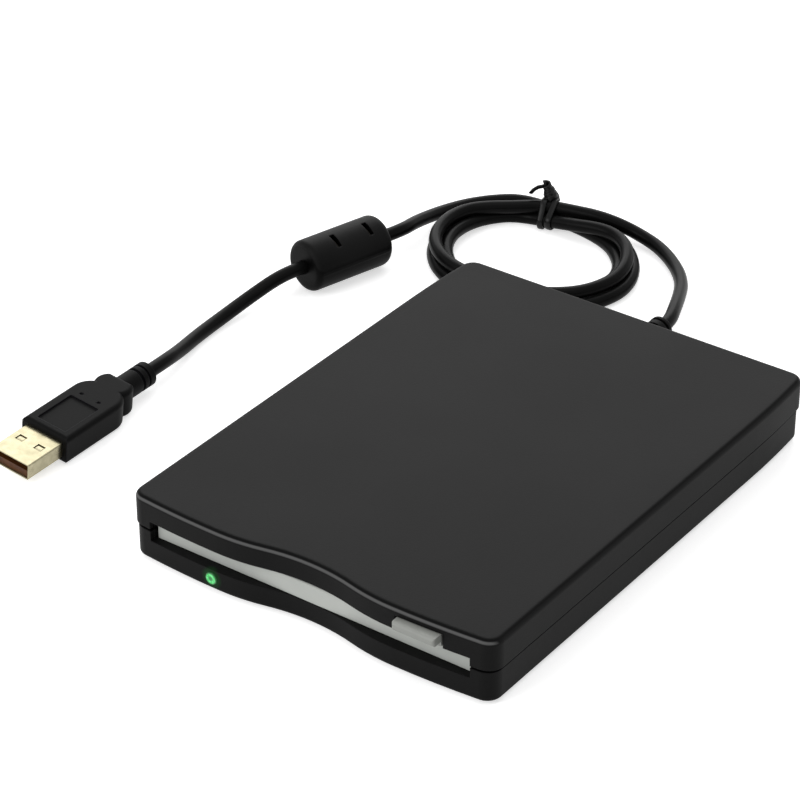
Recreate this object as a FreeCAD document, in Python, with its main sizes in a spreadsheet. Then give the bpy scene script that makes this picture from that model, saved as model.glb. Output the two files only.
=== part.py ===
"""External 3.5 inch floppy disk drive with its tied cord, ferrite bead and USB plug.

Millimetres, +Z up. The origin is under the middle of the drive, on the surface it stands on.
The front with the disk slot faces -Y. The cord lies behind the drive and along its left side.
"""
import FreeCAD, Part
import math
import os
import re
from FreeCAD import Placement, Rotation, Vector

# ---------------------------------------------------------------- driving dimensions
SIZES = {
    # case
    "case_width": 105.0,
    "case_reach": 70.75,
    "case_base": 0.8,
    "case_top": 18.0,
    "seam_height": 9.8,
    "seam_gap": 0.5,
    "seam_inset": 0.4,
    "wall": 1.6,
    "corner_radius": 4.0,
    "top_round": 1.5,
    "base_round": 1.0,
    "wave_depth": 2.9,
    "side_sweep": 0.9,
    "sweep_run": 22.0,
    "lobe_offset": 25.0,
    "brow_radius": 250.0,
    # disk slot, flap and button
    "slot_low": 6.45,
    "slot_high": 12.0,
    "flap_low": 6.55,
    "flap_thick": 1.0,
    "flap_axis_z": 11.0,
    "trunnion_radius": 0.5,
    "fit": 0.05,
    "notch_top": 15.8,
    "button_low": 13.4,
    "button_high": 15.6,
    "stem_low": 12.6,
    "window_z": 4.0,
    "window_radius": 1.65,
    # chassis and boards
    "tray_floor": 3.6,
    "tray_top": 15.0,
    "sheet_metal": 0.6,
    "board_under": 2.8,
    "usb_board_under": 3.6,
    "screw_radius": 1.3,
    "foot_radius": 5.0,
    # spindle
    "rotor_radius": 20.0,
    "rotor_under": 4.5,
    "rotor_thick": 0.5,
    "shaft_radius": 1.2,
    # heads
    "rod_x": 10.5,
    "rod_z": 7.2,
    "rod_radius": 1.2,
    "screw_line_z": 9.5,
    "lead_radius": 1.6,
    "lead_pitch": 3.0,
    "arm_axis_z": 11.0,
    "arm_lift": 6.45,
    # loading gear
    "holder_low": 6.1,
    "holder_top": 11.4,
    "pin_radius": 0.9,
    "pin_z": 8.6,
    "load_drop": 1.7,
    "load_stroke": 4.5,
    "slide_under": 12.8,
    "lever_reach": 26.0,
    "lever_rest": -53.9,
    # cord and what is on it
    "cord_radius": 1.9,
    "gland_x": 0.3,
    "gland_z": 7.3,
    "coil_x": -53.3,
    "coil_y": 104.6,
    "coil_bend": 23.2,
    "coil_straight": 9.4,
    "coil_wide": 8.0,
    "coil_high": 7.2,
    "bead_x": -95.86,
    "bead_y": 55.78,
    "bead_turn": 16.0,
    "bead_radius": 7.3,
    "bead_length": 25.2,
    "plug_x": -97.9,
    "plug_z": 4.75,
    "plug_front": -49.35,
    "plug_wide": 14.8,
    "plug_high": 7.9,
    "plug_roll": 6.5,
    "shell_wide": 12.0,
    "shell_high": 4.5,
    "shell_out": 12.7,
    "shell_sheet": 0.3,
}

# Sizes that follow from those above, each with its clearance.
FOLLOWERS = {
    "front_inside": "case_reach - 4.55",
    "slot_half": "case_width / 2 - 6.3",
    "flap_half": "slot_half - 0.7",
    "flap_axis_y": "wave_depth - case_reach + 0.2 + flap_thick / 2",
    "notch_left": "slot_half - 20.0",
    "notch_right": "slot_half - 7.0",
    "button_front": "case_reach + 2.4",
    "window_x": "19.1 - slot_half",
    "tray_half": "case_width / 2 - 3.5",
    "tray_front": "4.7 - front_inside",
    "tray_back": "case_reach - 8.25",
    "screw_x": "tray_half - 13",
    "screw_front": "tray_front + 13.5",
    "screw_back": "tray_back - 9.5",
    "foot_x": "case_width / 2 - 9.5",
    "foot_front": "tray_front + 4.5",
    "foot_back": "tray_back - 17.5",
    "case_screw_x": "case_width / 2 - 7.3",
    "case_screw_y": "case_reach - 5.15",
    "usb_board_y": "tray_back + 0.9",
    "head_y": "tray_back - 39",
    "spindle_y": "head_y - 39.5",
    "carriage_front": "tray_back - 12.5",
    "carriage_back": "tray_back - 4.5",
    "arm_axis_y": "tray_back - 6.3",
    "rail_front": "tray_back - 28.6",
    "motor_y": "tray_back - 8.5",
    "screw_line_x": "rod_x + 9",
    "holder_half": "tray_half - 3.1",
    "holder_front": "tray_front + 2.5",
    "holder_back": "head_y + 9.5",
    "slide_half": "tray_half - 1.4",
    "spring_x": "tray_half - 9",
    "spring_y": "tray_front + 9.5",
    "lever_x": "11.9 - holder_half",
    "lever_y": "holder_back - 3",
    "pin_front": "tray_front + 16.5",
    "pin_back": "holder_back - 13",
    "switch_y": "tray_front + 10.5",
    "gland_y": "case_reach + 14.45",
}

doc = FreeCAD.newDocument("FloppyDrive")
sheet = doc.addObject("Spreadsheet::Sheet", "Sizes")
for row, (word, value) in enumerate(SIZES.items(), start=1):
    sheet.set("A%d" % row, word)
    sheet.set("B%d" % row, str(value))
    sheet.setAlias("B%d" % row, word)
for row, (word, formula) in enumerate(FOLLOWERS.items(), start=len(SIZES) + 1):
    sheet.set("A%d" % row, word)
    sheet.set("B%d" % row, "=" + formula)
    sheet.setAlias("B%d" % row, word)
    doc.recompute()
doc.recompute()

NODES = []
X_AXIS = Vector(1, 0, 0)
Y_AXIS = Vector(0, 1, 0)
Z_AXIS = Vector(0, 0, 1)
ALONG = {
    "x": Rotation(Y_AXIS, 90),
    "y": Rotation(X_AXIS, -90),
    "z": Rotation(Z_AXIS, 0),
}


# ---------------------------------------------------------------- helpers
def size(word):
    """One dimension of the sheet as a number."""
    return float(sheet.get(word))


def link(formula):
    """A formula with each dimension pointed at the sheet."""
    return re.sub(r"[A-Za-z_]\w*", lambda m: "Sizes." + m[0] if m[0] in SIZES or m[0] in FOLLOWERS else m[0], str(formula))


def bind(obj, prop, formula):
    obj.setExpression(prop, link(formula))


def put(obj, x, y, z, turn=None):
    """Place an object at bound coordinates, turned by a rotation."""
    obj.Placement = Placement(Vector(0, 0, 0), turn or Rotation())
    bind(obj, "Placement.Base.x", x)
    bind(obj, "Placement.Base.y", y)
    bind(obj, "Placement.Base.z", z)
    return obj


def block(name, x0, x1, y0, y1, z0, z1):
    """A box between bound planes."""
    obj = doc.addObject("Part::Box", name)
    bind(obj, "Length", "(%s) - (%s)" % (x1, x0))
    bind(obj, "Width", "(%s) - (%s)" % (y1, y0))
    bind(obj, "Height", "(%s) - (%s)" % (z1, z0))
    return put(obj, x0, y0, z0)


def rod(name, radius, x, y, z, length, along="z"):
    """A cylinder that starts at a point and runs along +X, +Y or +Z."""
    obj = doc.addObject("Part::Cylinder", name)
    bind(obj, "Radius", radius)
    bind(obj, "Height", length)
    return put(obj, x, y, z, ALONG[along])


def cone(name, radius, end_radius, x, y, z, length, along="z"):
    obj = doc.addObject("Part::Cone", name)
    bind(obj, "Radius1", radius)
    bind(obj, "Radius2", end_radius)
    bind(obj, "Height", length)
    return put(obj, x, y, z, ALONG[along])


def join(name, *pieces):
    obj = doc.addObject("Part::MultiFuse", name)
    obj.Shapes = list(pieces)
    obj.Refine = True
    return obj


def cut(name, base, *tools):
    obj = doc.addObject("Part::Cut", name)
    obj.Base = base
    obj.Tool = tools[0] if len(tools) == 1 else join(name + "_tools", *tools)
    obj.Refine = True
    return obj


def soften(name, base, radius, wanted):
    """Round the edges of a part for which wanted(edge) is true."""
    doc.recompute()
    obj = doc.addObject("Part::Fillet", name)
    obj.Base = base
    edges = enumerate(base.Shape.Edges, start=1)
    obj.Edges = [(number, radius, radius) for number, edge in edges if wanted(edge)]
    return obj


def node(obj, label):
    """Name a finished sub-part; the name is also its file's."""
    obj.Label = label
    NODES.append(obj)
    return obj


def shape_node(label, shape, place=Placement()):
    """A sub-part whose shape is swept in this script, at a place of its own."""
    obj = doc.addObject("Part::Feature", label + "_solid")
    obj.Shape = shape
    obj.Placement = place
    return node(obj, label)


def origin_plane(body, role):
    return next(f for f in body.Origin.OriginFeatures if f.Role == role)


def sketch_on(body, name, role, offset, edges):
    """A closed sketch at a bound distance from one of the body's own planes."""
    sketch = body.newObject("Sketcher::SketchObject", name)
    sketch.AttachmentSupport = [(origin_plane(body, role), "")]
    sketch.MapMode = "FlatFace"
    bind(sketch, "AttachmentOffset.Base.z", offset)
    for edge in edges:
        sketch.addGeometry(edge, False)
    return sketch


def pad(body, name, role, offset, edges, length):
    feature = body.newObject("PartDesign::Pad", name)
    feature.Profile = sketch_on(body, name + "_sketch", role, offset, edges)
    bind(feature, "Length", length)
    doc.recompute()
    return feature


def pocket(body, name, role, offset, edges, depth):
    """Cut from the sketch plane against its normal, and make sure that something went."""
    before = body.Shape.Volume
    feature = body.newObject("PartDesign::Pocket", name)
    feature.Profile = sketch_on(body, name + "_sketch", role, offset, edges)
    bind(feature, "Length", depth)
    doc.recompute()
    if body.Shape.Volume > before - 0.01:
        raise RuntimeError(name + " cuts nothing")
    return feature


def round_edges(body, name, radius, wanted):
    """A PartDesign fillet on the edges of the tip for which wanted(edge) is true."""
    tip = body.Tip
    edges = enumerate(tip.Shape.Edges, start=1)
    names = ["Edge%d" % number for number, edge in edges if wanted(edge)]
    feature = body.newObject("PartDesign::Fillet", name)
    feature.Base = (tip, names)
    bind(feature, "Radius", radius)
    doc.recompute()
    return feature


def line(start, end):
    return Part.LineSegment(Vector(*start, 0), Vector(*end, 0))


def arc(start, middle, end):
    return Part.Arc(Vector(*start, 0), Vector(*middle, 0), Vector(*end, 0))


def loop(points):
    """Straight sketch lines round a list of corners."""
    return [line(a, b) for a, b in zip(points, points[1:] + points[:1])]


def rectangle(x0, x1, y0, y1):
    return loop([(x0, y0), (x1, y0), (x1, y1), (x0, y1)])


def soft_rectangle(x0, x1, y0, y1, radius):
    """A rectangle with round corners."""
    k = radius * (1 - math.sqrt(0.5))
    return [
        line((x0 + radius, y0), (x1 - radius, y0)),
        arc((x1 - radius, y0), (x1 - k, y0 + k), (x1, y0 + radius)),
        line((x1, y0 + radius), (x1, y1 - radius)),
        arc((x1, y1 - radius), (x1 - k, y1 - k), (x1 - radius, y1)),
        line((x1 - radius, y1), (x0 + radius, y1)),
        arc((x0 + radius, y1), (x0 + k, y1 - k), (x0, y1 - radius)),
        line((x0, y1 - radius), (x0, y0 + radius)),
        arc((x0, y0 + radius), (x0 + k, y0 + k), (x0 + radius, y0)),
    ]


def level(z):
    """True for an edge that lies wholly at one height."""
    return lambda e: abs(e.BoundBox.ZMin - z) < 1e-4 and abs(e.BoundBox.ZMax - z) < 1e-4


def tool_body(label, role, start, end, edges):
    """A plain padded body between two bound heights."""
    body = doc.addObject("PartDesign::Body", label)
    pad(body, label + "_pad", role, start, edges, "(%s) - (%s)" % (end, start))
    return body


# ---------------------------------------------------------------- case
def case_outline(half_width, front, back):
    """Plan of the case: a wavy front with two lobes and a recess, straight sides and back."""
    lobe = size("lobe_offset")
    depth = size("wave_depth")
    radius = size("corner_radius")
    brow = size("brow_radius")
    turn = 2 * math.atan(depth / lobe)
    bend = lobe / 2 / math.sin(turn)
    half = turn / 2
    middle = (bend * math.sin(half), -front + depth - bend * (1 - math.cos(half)))
    crossing = (lobe / 2, -front + depth / 2)
    crown = (lobe - bend * math.sin(half), -front + bend * (1 - math.cos(half)))
    tip = (lobe, -front)
    # corner arc, tangent to the side and to the long arc of the brow
    cx = half_width - radius
    cy = -front + brow - math.sqrt((brow - radius) ** 2 - (cx - lobe) ** 2)
    lean = math.asin((cx - lobe) / (brow - radius))
    end = (cx + radius * math.sin(lean), cy - radius * math.cos(lean))
    brow_middle = (lobe + brow * math.sin(lean / 2), -front + brow * (1 - math.cos(lean / 2)))
    quarter = (lean + math.pi / 2) / 2
    corner = (cx + radius * math.sin(quarter), cy - radius * math.cos(quarter))
    # the side sweeps in a little towards the back corner
    inset = size("side_sweep")
    run = size("sweep_run")
    sweep = (run * run + inset * inset) / (2 * inset)
    toe = math.asin(run / sweep)
    sweep_start = back - radius * (1 - math.sin(toe)) - run
    sweep_middle = (half_width - sweep * (1 - math.cos(toe / 2)), sweep_start + sweep * math.sin(toe / 2))
    sweep_end = (half_width - inset, sweep_start + run)
    tail_x = half_width - inset - radius * math.cos(toe)
    tail_turn = (toe + math.pi / 2) / 2
    back_corner = (tail_x + radius * math.cos(tail_turn), back - radius + radius * math.sin(tail_turn))
    right = [
        arc((0, -front + depth), middle, crossing),
        arc(crossing, crown, tip),
        arc(tip, brow_middle, end),
        arc(end, corner, (half_width, cy)),
        line((half_width, cy), (half_width, sweep_start)),
        arc((half_width, sweep_start), sweep_middle, sweep_end),
        arc(sweep_end, back_corner, (tail_x, back)),
        line((tail_x, back), (0, back)),
    ]
    return right + [mirrored(edge) for edge in right]


def mirrored(edge):
    """The same sketch edge on the other side of the middle."""
    copy = edge.copy()
    copy.mirror(Vector(0, 0, 0), Vector(0, 1, 0))
    return copy


def make_lower_shell():
    half = size("case_width") / 2 - size("seam_inset")
    back = size("case_reach") - size("seam_inset")
    body = doc.addObject("PartDesign::Body", "LowerCase")
    outline = case_outline(half, size("case_reach") - 0.15, back)
    pad(body, "LowerBlock", "XY_Plane", "case_base", outline, "seam_height - seam_gap - case_base")
    round_edges(body, "LowerRound", "base_round", level(size("case_base")))
    neck = case_outline(half - 0.7, size("case_reach") - 0.85, back - 0.7)
    pad(body, "LowerNeck", "XY_Plane", "seam_height - seam_gap", neck, "seam_gap")
    wall = size("wall")
    inside = soft_rectangle(wall - half, half - wall, -size("front_inside"), back - wall, 6.0)
    pocket(body, "LowerHollow", "XY_Plane", "seam_height", inside, "seam_height - case_base - wall")
    slot = rectangle(-size("slot_half"), size("slot_half"), -size("case_reach") - 9, -size("front_inside") + 1)
    pocket(body, "SlotFloor", "XY_Plane", "seam_height", slot, "seam_height - slot_low")
    posts = []
    for i, x in enumerate(("-screw_x", "screw_x")):
        for j, y in enumerate(("screw_front", "screw_back")):
            posts.append(rod("Post%d%d" % (i, j), 3.0, x, y, 2.0, 1.6))
        posts.append(rod("CasePost%d" % i, 2.7, "%d * case_screw_x" % (2 * i - 1), "case_screw_y", 2.0, "seam_height - 2"))
        posts.append(block("BoardRest%d" % i, 27 * (2 * i - 1) - 1, 27 * (2 * i - 1) + 1, "usb_board_y", "case_reach - 1.85", 2.0, 3.6))
        ear = ("-flap_half - 2.1", "flap_half + 0.5")[i]
        posts.append(block("Ear%d" % i, ear, ear + " + 1.6", "flap_axis_y - 1.2", "flap_axis_y + 1.6", 2.0, 12.0))
    solid = join("LowerJoined", body, *posts)
    holes = []
    for i, side in enumerate((-1, 1)):
        for j, y in enumerate(("screw_front", "screw_back")):
            x = "%d * screw_x" % side
            holes.append(rod("Bore%d%d" % (i, j), "screw_radius", x, y, 0, 9))
            holes.append(rod("Sink%d%d" % (i, j), 2.4, x, y, 0, 2.0))
        x = "%d * case_screw_x" % side
        holes.append(rod("CaseBore%d" % i, "screw_radius", x, "case_screw_y", 0, 12))
        holes.append(rod("CaseSink%d" % i, 2.4, x, "case_screw_y", 0, 2.0))
        for j, y in enumerate(("foot_front", "foot_back")):
            holes.append(rod("FootSeat%d%d" % (i, j), "foot_radius", "%d * foot_x" % side, y, 0, 1.2))
        start = ("-flap_half - 1.7", "flap_half + 0.1")[i]
        holes.append(rod("EarBore%d" % i, "trunnion_radius + fit", start, "flap_axis_y", "flap_axis_z", 1.6, "x"))
    holes.append(rod("WindowBore", "window_radius", "window_x", "-case_reach - 4", "window_z", 12, "y"))
    holes.append(rod("GlandBore", 3.4, "gland_x", "tray_back - 2", "gland_z", 15, "y"))
    node(cut("LowerShell", solid, *holes), "lower_shell")


def make_upper_shell():
    half = size("case_width") / 2
    reach = size("case_reach")
    body = doc.addObject("PartDesign::Body", "UpperCase")
    pad(body, "UpperBlock", "XY_Plane", "seam_height", case_outline(half, reach, reach), "case_top - seam_height")
    round_edges(body, "UpperRound", "top_round", level(size("case_top")))
    wall = size("wall")
    inside = soft_rectangle(wall - half, half - wall, -size("front_inside"), reach - wall, 6.0)
    pocket(body, "UpperHollow", "XY_Plane", "case_top - wall", inside, "case_top - wall - seam_height")
    posts = []
    for i, side in enumerate((-1, 1)):
        posts.append(rod("TopPost%d" % i, 2.7, "%d * case_screw_x" % side, "case_screw_y", "seam_height", 7.2))
    solid = join("UpperJoined", body, *posts)
    holes = [
        block("SlotTop", "-slot_half", "slot_half", "-case_reach - 9", "-front_inside + 1", 9, "slot_high"),
        block("Notch", "notch_left", "notch_right", "-case_reach - 9", "-front_inside + 1", 9, "notch_top"),
        rod("TopGlandBore", 3.4, "gland_x", "tray_back - 2", "gland_z", 15, "y"),
        block("EarRoom0", "-flap_half - 2.4", "-slot_half + 1", "flap_axis_y - 1.5", "flap_axis_y + 1.9", 9, 12.4),
        block("EarRoom1", "slot_half - 1", "flap_half + 2.4", "flap_axis_y - 1.5", "flap_axis_y + 1.9", 9, 12.4),
    ]
    for i, side in enumerate((-1, 1)):
        holes.append(rod("TopBore%d" % i, "screw_radius", "%d * case_screw_x" % side, "case_screw_y", 9, 6))
    node(cut("UpperShell", solid, *holes), "upper_shell")


def make_feet():
    for i, side in enumerate((-1, 1)):
        for j, y in enumerate(("foot_front", "foot_back")):
            foot = rod("Foot%d%d" % (i, j), "foot_radius", "%d * foot_x" % side, y, 0, 1.2)
            rounded = soften("FootRound%d%d" % (i, j), foot, 0.3, level(0))
            node(rounded, "foot_%s_%s" % (("left", "right")[i], ("front", "back")[j]))


def cross_screw(name, label, x, y, base, length):
    """A countersunk-seat screw that is driven upwards, with a cross recess in its head."""
    head = rod(name + "Head", 2.4, x, y, base, 2.0 - base)
    shank = rod(name + "Shank", "screw_radius", x, y, base, length)
    slot_a = block(name + "CrossA", "(%s) - 1.5" % x, "(%s) + 1.5" % x, "(%s) - 0.25" % y, "(%s) + 0.25" % y, 0, base + 0.6)
    slot_b = block(name + "CrossB", "(%s) - 0.25" % x, "(%s) + 0.25" % x, "(%s) - 1.5" % y, "(%s) + 1.5" % y, 0, base + 0.6)
    node(cut(name, join(name + "Blank", head, shank), slot_a, slot_b), label)


def make_screws():
    for i, side in enumerate((-1, 1)):
        hand = ("left", "right")[i]
        cross_screw("CaseScrew%d" % i, "case_screw_" + hand, "%d * case_screw_x" % side, "case_screw_y", 1.0, 13.6)
        for j, y in enumerate(("screw_front", "screw_back")):
            place = ("front", "back")[j]
            cross_screw("TrayScrew%d%d" % (i, j), "tray_screw_%s_%s" % (hand, place), "%d * screw_x" % side, y, 1.0, 4.0)


# ---------------------------------------------------------------- front: flap, button, lamp
def make_flap():
    half = size("flap_half")
    low = size("flap_low")
    axis_y = size("flap_axis_y")
    axis_z = size("flap_axis_z")
    r = size("flap_thick") / 2
    body = doc.addObject("PartDesign::Body", "FlapBody")
    profile = [
        line((axis_y - r, axis_z), (axis_y - r, low)),
        line((axis_y - r, low), (axis_y + r, low)),
        line((axis_y + r, low), (axis_y + r, axis_z)),
        arc((axis_y + r, axis_z), (axis_y, axis_z + r), (axis_y - r, axis_z)),
    ]
    pad(body, "FlapPad", "YZ_Plane", "-flap_half", profile, "2 * flap_half")
    pins = [
        rod("FlapPin0", "trunnion_radius", "-flap_half - 1.5", "flap_axis_y", "flap_axis_z", 1.6, "x"),
        rod("FlapPin1", "trunnion_radius", "flap_half - 0.1", "flap_axis_y", "flap_axis_z", 1.6, "x"),
    ]
    node(join("DustFlap", body, *pins), "dust_flap")


def make_button():
    left = "notch_left + 0.6"
    right = "notch_right - 0.6"
    face = block("ButtonFace", left, right, "-button_front", "-case_reach + 3.45", "button_low", "button_high")
    skirt = block("ButtonSkirt", left, right, "-case_reach + 0.6", "-case_reach + 3.45", "slot_high + 0.1", "button_low + 0.1")
    bar = block("ButtonStem", left, right, "-case_reach + 3.25", "tray_front + 0.9", "stem_low", "button_high")
    blank = join("ButtonBlank", face, skirt, bar)

    def front_edge(edge):
        box = edge.BoundBox
        return box.YMax < -size("button_front") + 1e-4

    rounded = soften("ButtonRound", blank, 0.8, front_edge)
    tab_slot = block("ButtonSlot", "notch_left + 4", "notch_left + 9", "tray_front - 2.7", "tray_front + 1.5", "slide_under", "slide_under + 0.5")
    node(cut("EjectButton", rounded, tab_slot), "eject_button")


def make_lamp():
    window = rod("WindowRod", "window_radius", "window_x", "-case_reach - 0.2", "window_z", "case_reach + 0.2 - front_inside", "y")
    rounded = soften("StatusWindow", window, 0.25, lambda e: e.BoundBox.YMax < -size("case_reach") - 0.15)
    node(rounded, "status_window")
    dome = rod("LampDome", 1.3, "window_x", "-front_inside", "window_z", 4.8, "y")
    collar = rod("LampCollar", 1.5, "window_x", "4.6 - front_inside", "window_z", 0.8, "y")
    leg_a = block("LampLegA", "window_x - 1.0", "window_x - 0.5", "5.2 - front_inside", "10.7 - front_inside", 3.6, 4.0)
    leg_b = block("LampLegB", "window_x + 0.5", "window_x + 1.0", "5.2 - front_inside", "10.7 - front_inside", 3.6, 4.0)
    node(join("StatusLamp", dome, collar, leg_a, leg_b), "status_lamp")


# ---------------------------------------------------------------- chassis and boards
def make_tray():
    half = "tray_half"
    floor = block("TrayFloor", "-" + half, half, "tray_front", "tray_back", "tray_floor", "tray_floor + sheet_metal")
    pieces = [
        floor,
        block("TrayLeft", "-" + half, "-tray_half + sheet_metal", "holder_front", "tray_back", "tray_floor", "tray_top"),
        block("TrayRight", "tray_half - sheet_metal", half, "holder_front", "tray_back", "tray_floor", "tray_top"),
        block("TrayBack", "-" + half, half, "tray_back - sheet_metal", "tray_back", "tray_floor", "tray_top"),
        block("MotorPlate", "screw_line_x - 5.9", "screw_line_x + 6.1", "motor_y", "motor_y + 0.6", "tray_floor", 14.6),
        block("ScrewTab", "screw_line_x - 2", "screw_line_x + 2", "rail_front + 0.1", "rail_front + 0.7", "tray_floor", 11.6),
    ]
    for i, x in enumerate(("-rod_x", "rod_x")):
        low_x = x + " - 2.2"
        high_x = x + " + 2.2"
        pieces.append(block("RodTab%dA" % i, low_x, high_x, "rail_front", "rail_front + 0.7", "tray_floor", 9.4))
        pieces.append(block("RodTab%dB" % i, low_x, high_x, "tray_back - 2.5", "tray_back - 1.9", "tray_floor", 9.4))
    holes = [
        rod("MotorHole", "rotor_radius + 1.5", 0, "spindle_y", 3, 2),
        block("ArmRoom", -7, 7, "head_y - 20.5", "tray_back - 3.5", 3, 5),
        block("ChipRoom", "5.6 - tray_half", "20.4 - tray_half", "tray_back - 28.3", "tray_back - 13.7", 3, 5),
        block("SensorRoom", "screw_line_x + 6.4", "screw_line_x + 10.6", "carriage_front - 0.3", "carriage_back - 0.7", 3, 5),
        block("LampRoom", "window_x - 2.4", "window_x + 2.4", "tray_front - 0.5", "tray_front + 6.7", 3, 5),
        block("PlugRoom", -23, -18.6, "tray_back - 19.9", "tray_back - 14.1", 3, 5),
        block("BackWindow", -26, -2, "tray_back - 1.5", "tray_back + 0.5", 4.4, 9.0),
        rod("JournalHole", "0.9 + fit", "screw_line_x", "rail_front - 0.9", "screw_line_z", 3, "y"),
        rod("MotorNose", 2.6, "screw_line_x", "motor_y - 1", "screw_line_z", 3, "y"),
    ]
    for i, x in enumerate((-1, 1)):
        holes.append(rod("RodHole%d" % i, "rod_radius", "%d * rod_x" % x, "rail_front - 0.9", "rod_z", "tray_back - rail_front - 0.6", "y"))
        holes.append(block("SwitchRoom%d" % i, "%d * spring_x - 2.6" % x, "%d * spring_x + 2.6" % x, "switch_y - 2.6", "switch_y + 2", 3, 5))
        for j, y in enumerate(("screw_front", "screw_back")):
            holes.append(rod("TrayBore%d%d" % (i, j), "screw_radius", "%d * screw_x" % x, y, 3, 2))
        for j, y in enumerate(("pin_front", "pin_back")):
            start = "%d * tray_half - 1" % x
            holes.append(block("PinSlot%d%d" % (i, j), start, start + " + 2", y + " - 1.25", y + " + 1.25", 5.6, 9.9))
    node(cut("ChassisTray", join("TrayBlank", *pieces), *holes), "chassis_tray")


def make_cover():
    plate = block("CoverPlate", "-tray_half", "tray_half", "tray_front + 1.5", "tray_back", "tray_top", "tray_top + sheet_metal")
    pieces = [plate]
    for i, x in enumerate(("-spring_x", "spring_x")):
        pieces.append(block("SpringTab%d" % i, x + " - 1.5", x + " + 1.5", "spring_y - 0.6", "spring_y", 13.7, "tray_top + 0.1"))
    head = size("head_y")
    hub = size("spindle_y")
    window = tool_body("CoverWindow", "XY_Plane", 14.5, 16, soft_rectangle(-16, 16, head - 25.5, head + 23.5, 3))
    front = tool_body("CoverOpening", "XY_Plane", 14.5, 16, soft_rectangle(-22, 22, hub - 30, hub + 4, 6))
    node(cut("TopCover", join("CoverBlank", *pieces), window, front), "top_cover")


def make_boards():
    board = block("BoardPlate", "5 - tray_half", "tray_half - 5", "tray_front + 4.5", "tray_back - 3.5", "board_under", "tray_floor")
    holes = [rod("BearingHole", 3.0, 0, "spindle_y", 2, 3)]
    for i, x in enumerate(("-screw_x", "screw_x")):
        for j, y in enumerate(("screw_front", "screw_back")):
            holes.append(rod("BoardBore%d%d" % (i, j), 3.0, x, y, 2, 3))
    node(cut("ControlBoard", board, *holes), "control_board")
    chip = block("ChipBody", "7 - tray_half", "19 - tray_half", "tray_back - 27", "tray_back - 15", 3.7, 5.1)
    legs = block("ChipLegs", "6 - tray_half", "20 - tray_half", "tray_back - 28", "tray_back - 14", "tray_floor", 3.85)
    node(join("ControllerChip", chip, legs), "controller_chip")
    usb = block("UsbPlate", "15 - tray_half", "tray_half - 15", "usb_board_y", "usb_board_y + 5", "usb_board_under", "usb_board_under + 0.8")
    node(usb, "usb_board")
    body = block("BridgeBody", -21, -17, "usb_board_y + 0.5", "usb_board_y + 4.5", 4.5, 5.5)
    legs = block("BridgeLegs", -22, -16, "usb_board_y + 0.8", "usb_board_y + 4.2", 4.4, 4.65)
    node(join("BridgeChip", body, legs), "bridge_chip")
    header = block("HeaderBlock", "gland_x - 5", "gland_x + 5", "usb_board_y + 0.3", "usb_board_y + 3.6", 4.4, 8.4)
    mouth = block("HeaderMouth", "gland_x - 4", "gland_x + 4", "usb_board_y - 0.4", "usb_board_y + 2.2", 5.2, 7.8)
    node(cut("CordHeader", header, mouth), "cord_header")


# ---------------------------------------------------------------- spindle
def spoke(name, angle, start, length, width, low, high):
    """A bar that points outwards from the spindle at an angle."""
    obj = doc.addObject("Part::Box", name)
    obj.Length = length
    obj.Width = width
    obj.Height = high
    turn = Rotation(Z_AXIS, angle)
    corner = turn.multVec(Vector(start, -width / 2, 0))
    obj.Placement = Placement(corner + Vector(0, size("spindle_y"), low), turn)
    return obj


def make_spindle():
    y = "spindle_y"
    sleeve = rod("BearingSleeve", 3.0, 0, y, 2.5, 1.8)
    flange = rod("BearingFlange", 4.4, 0, y, 3.6, 0.4)
    bore = rod("BearingBore", "shaft_radius + fit", 0, y, 2, 4)
    node(cut("SpindleBearing", join("BearingBlank", sleeve, flange), bore), "spindle_bearing")

    hub = rod("StatorHub", 7.0, 0, y, 3.6, 0.5)
    teeth = []
    winds = []
    for i in range(9):
        angle = 40.0 * i
        teeth.append(spoke("Tooth%d" % i, angle, 5.6, 11.0, 1.6, 3.7, 0.4))
        teeth.append(spoke("Shoe%d" % i, angle, 15.4, 1.4, 8.4, 3.6, 0.5))
        winds.append(spoke("Winding%d" % i, angle, 8.0, 6.0, 3.6, 3.6, 0.65))
    core = cut("StatorCore", join("StatorBlank", hub, *teeth), rod("StatorBore", 4.4, 0, y, 3, 2))
    node(core, "stator_core")
    ring = cut("WireRing", rod("WireOuter", 9.4, 0, y, 3.6, 0.1), rod("WireInner", 8.4, 0, y, 3, 2))
    node(cut("StatorWindings", join("WindingBlank", ring, *winds), core), "stator_windings")

    shaft = rod("RotorShaft", "shaft_radius", 0, y, 2.6, 3.6)
    plate = rod("RotorPlate", "rotor_radius", 0, y, "rotor_under", "rotor_thick")
    skirt = cut("RotorSkirt", rod("SkirtOuter", "rotor_radius", 0, y, 3.9, 0.8), rod("SkirtInner", "rotor_radius - 0.8", 0, y, 3, 2))
    disc = rod("HubDisc", 9.5, 0, y, "rotor_under", 0.9)
    nose = rod("HubNose", 1.9, 0, y, 5, 1.2)
    tip = cone("HubTip", 1.9, 1.3, 0, y, 6.2, 0.4)
    drive = rod("DrivePin", 1.2, 7.2, y, 5, 1.3)
    rotor = join("RotorBlank", shaft, plate, skirt, disc, nose, tip, drive)
    slots = []
    for i, angle in enumerate((45, 135, 225, 315)):
        x = 14.5 * math.cos(math.radians(angle))
        dy = 14.5 * math.sin(math.radians(angle))
        slots.append(rod("RotorHole%d" % i, 2.4, x, "spindle_y + %.6f" % dy, 4, 2))
    node(cut("SpindleRotor", rotor, *slots), "spindle_rotor")
    magnet = cut("RotorMagnet", rod("MagnetOuter", "rotor_radius - 0.8", 0, y, 3.9, 0.6), rod("MagnetInner", "rotor_radius - 2.3", 0, y, 3, 2))
    node(magnet, "rotor_magnet")


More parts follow.
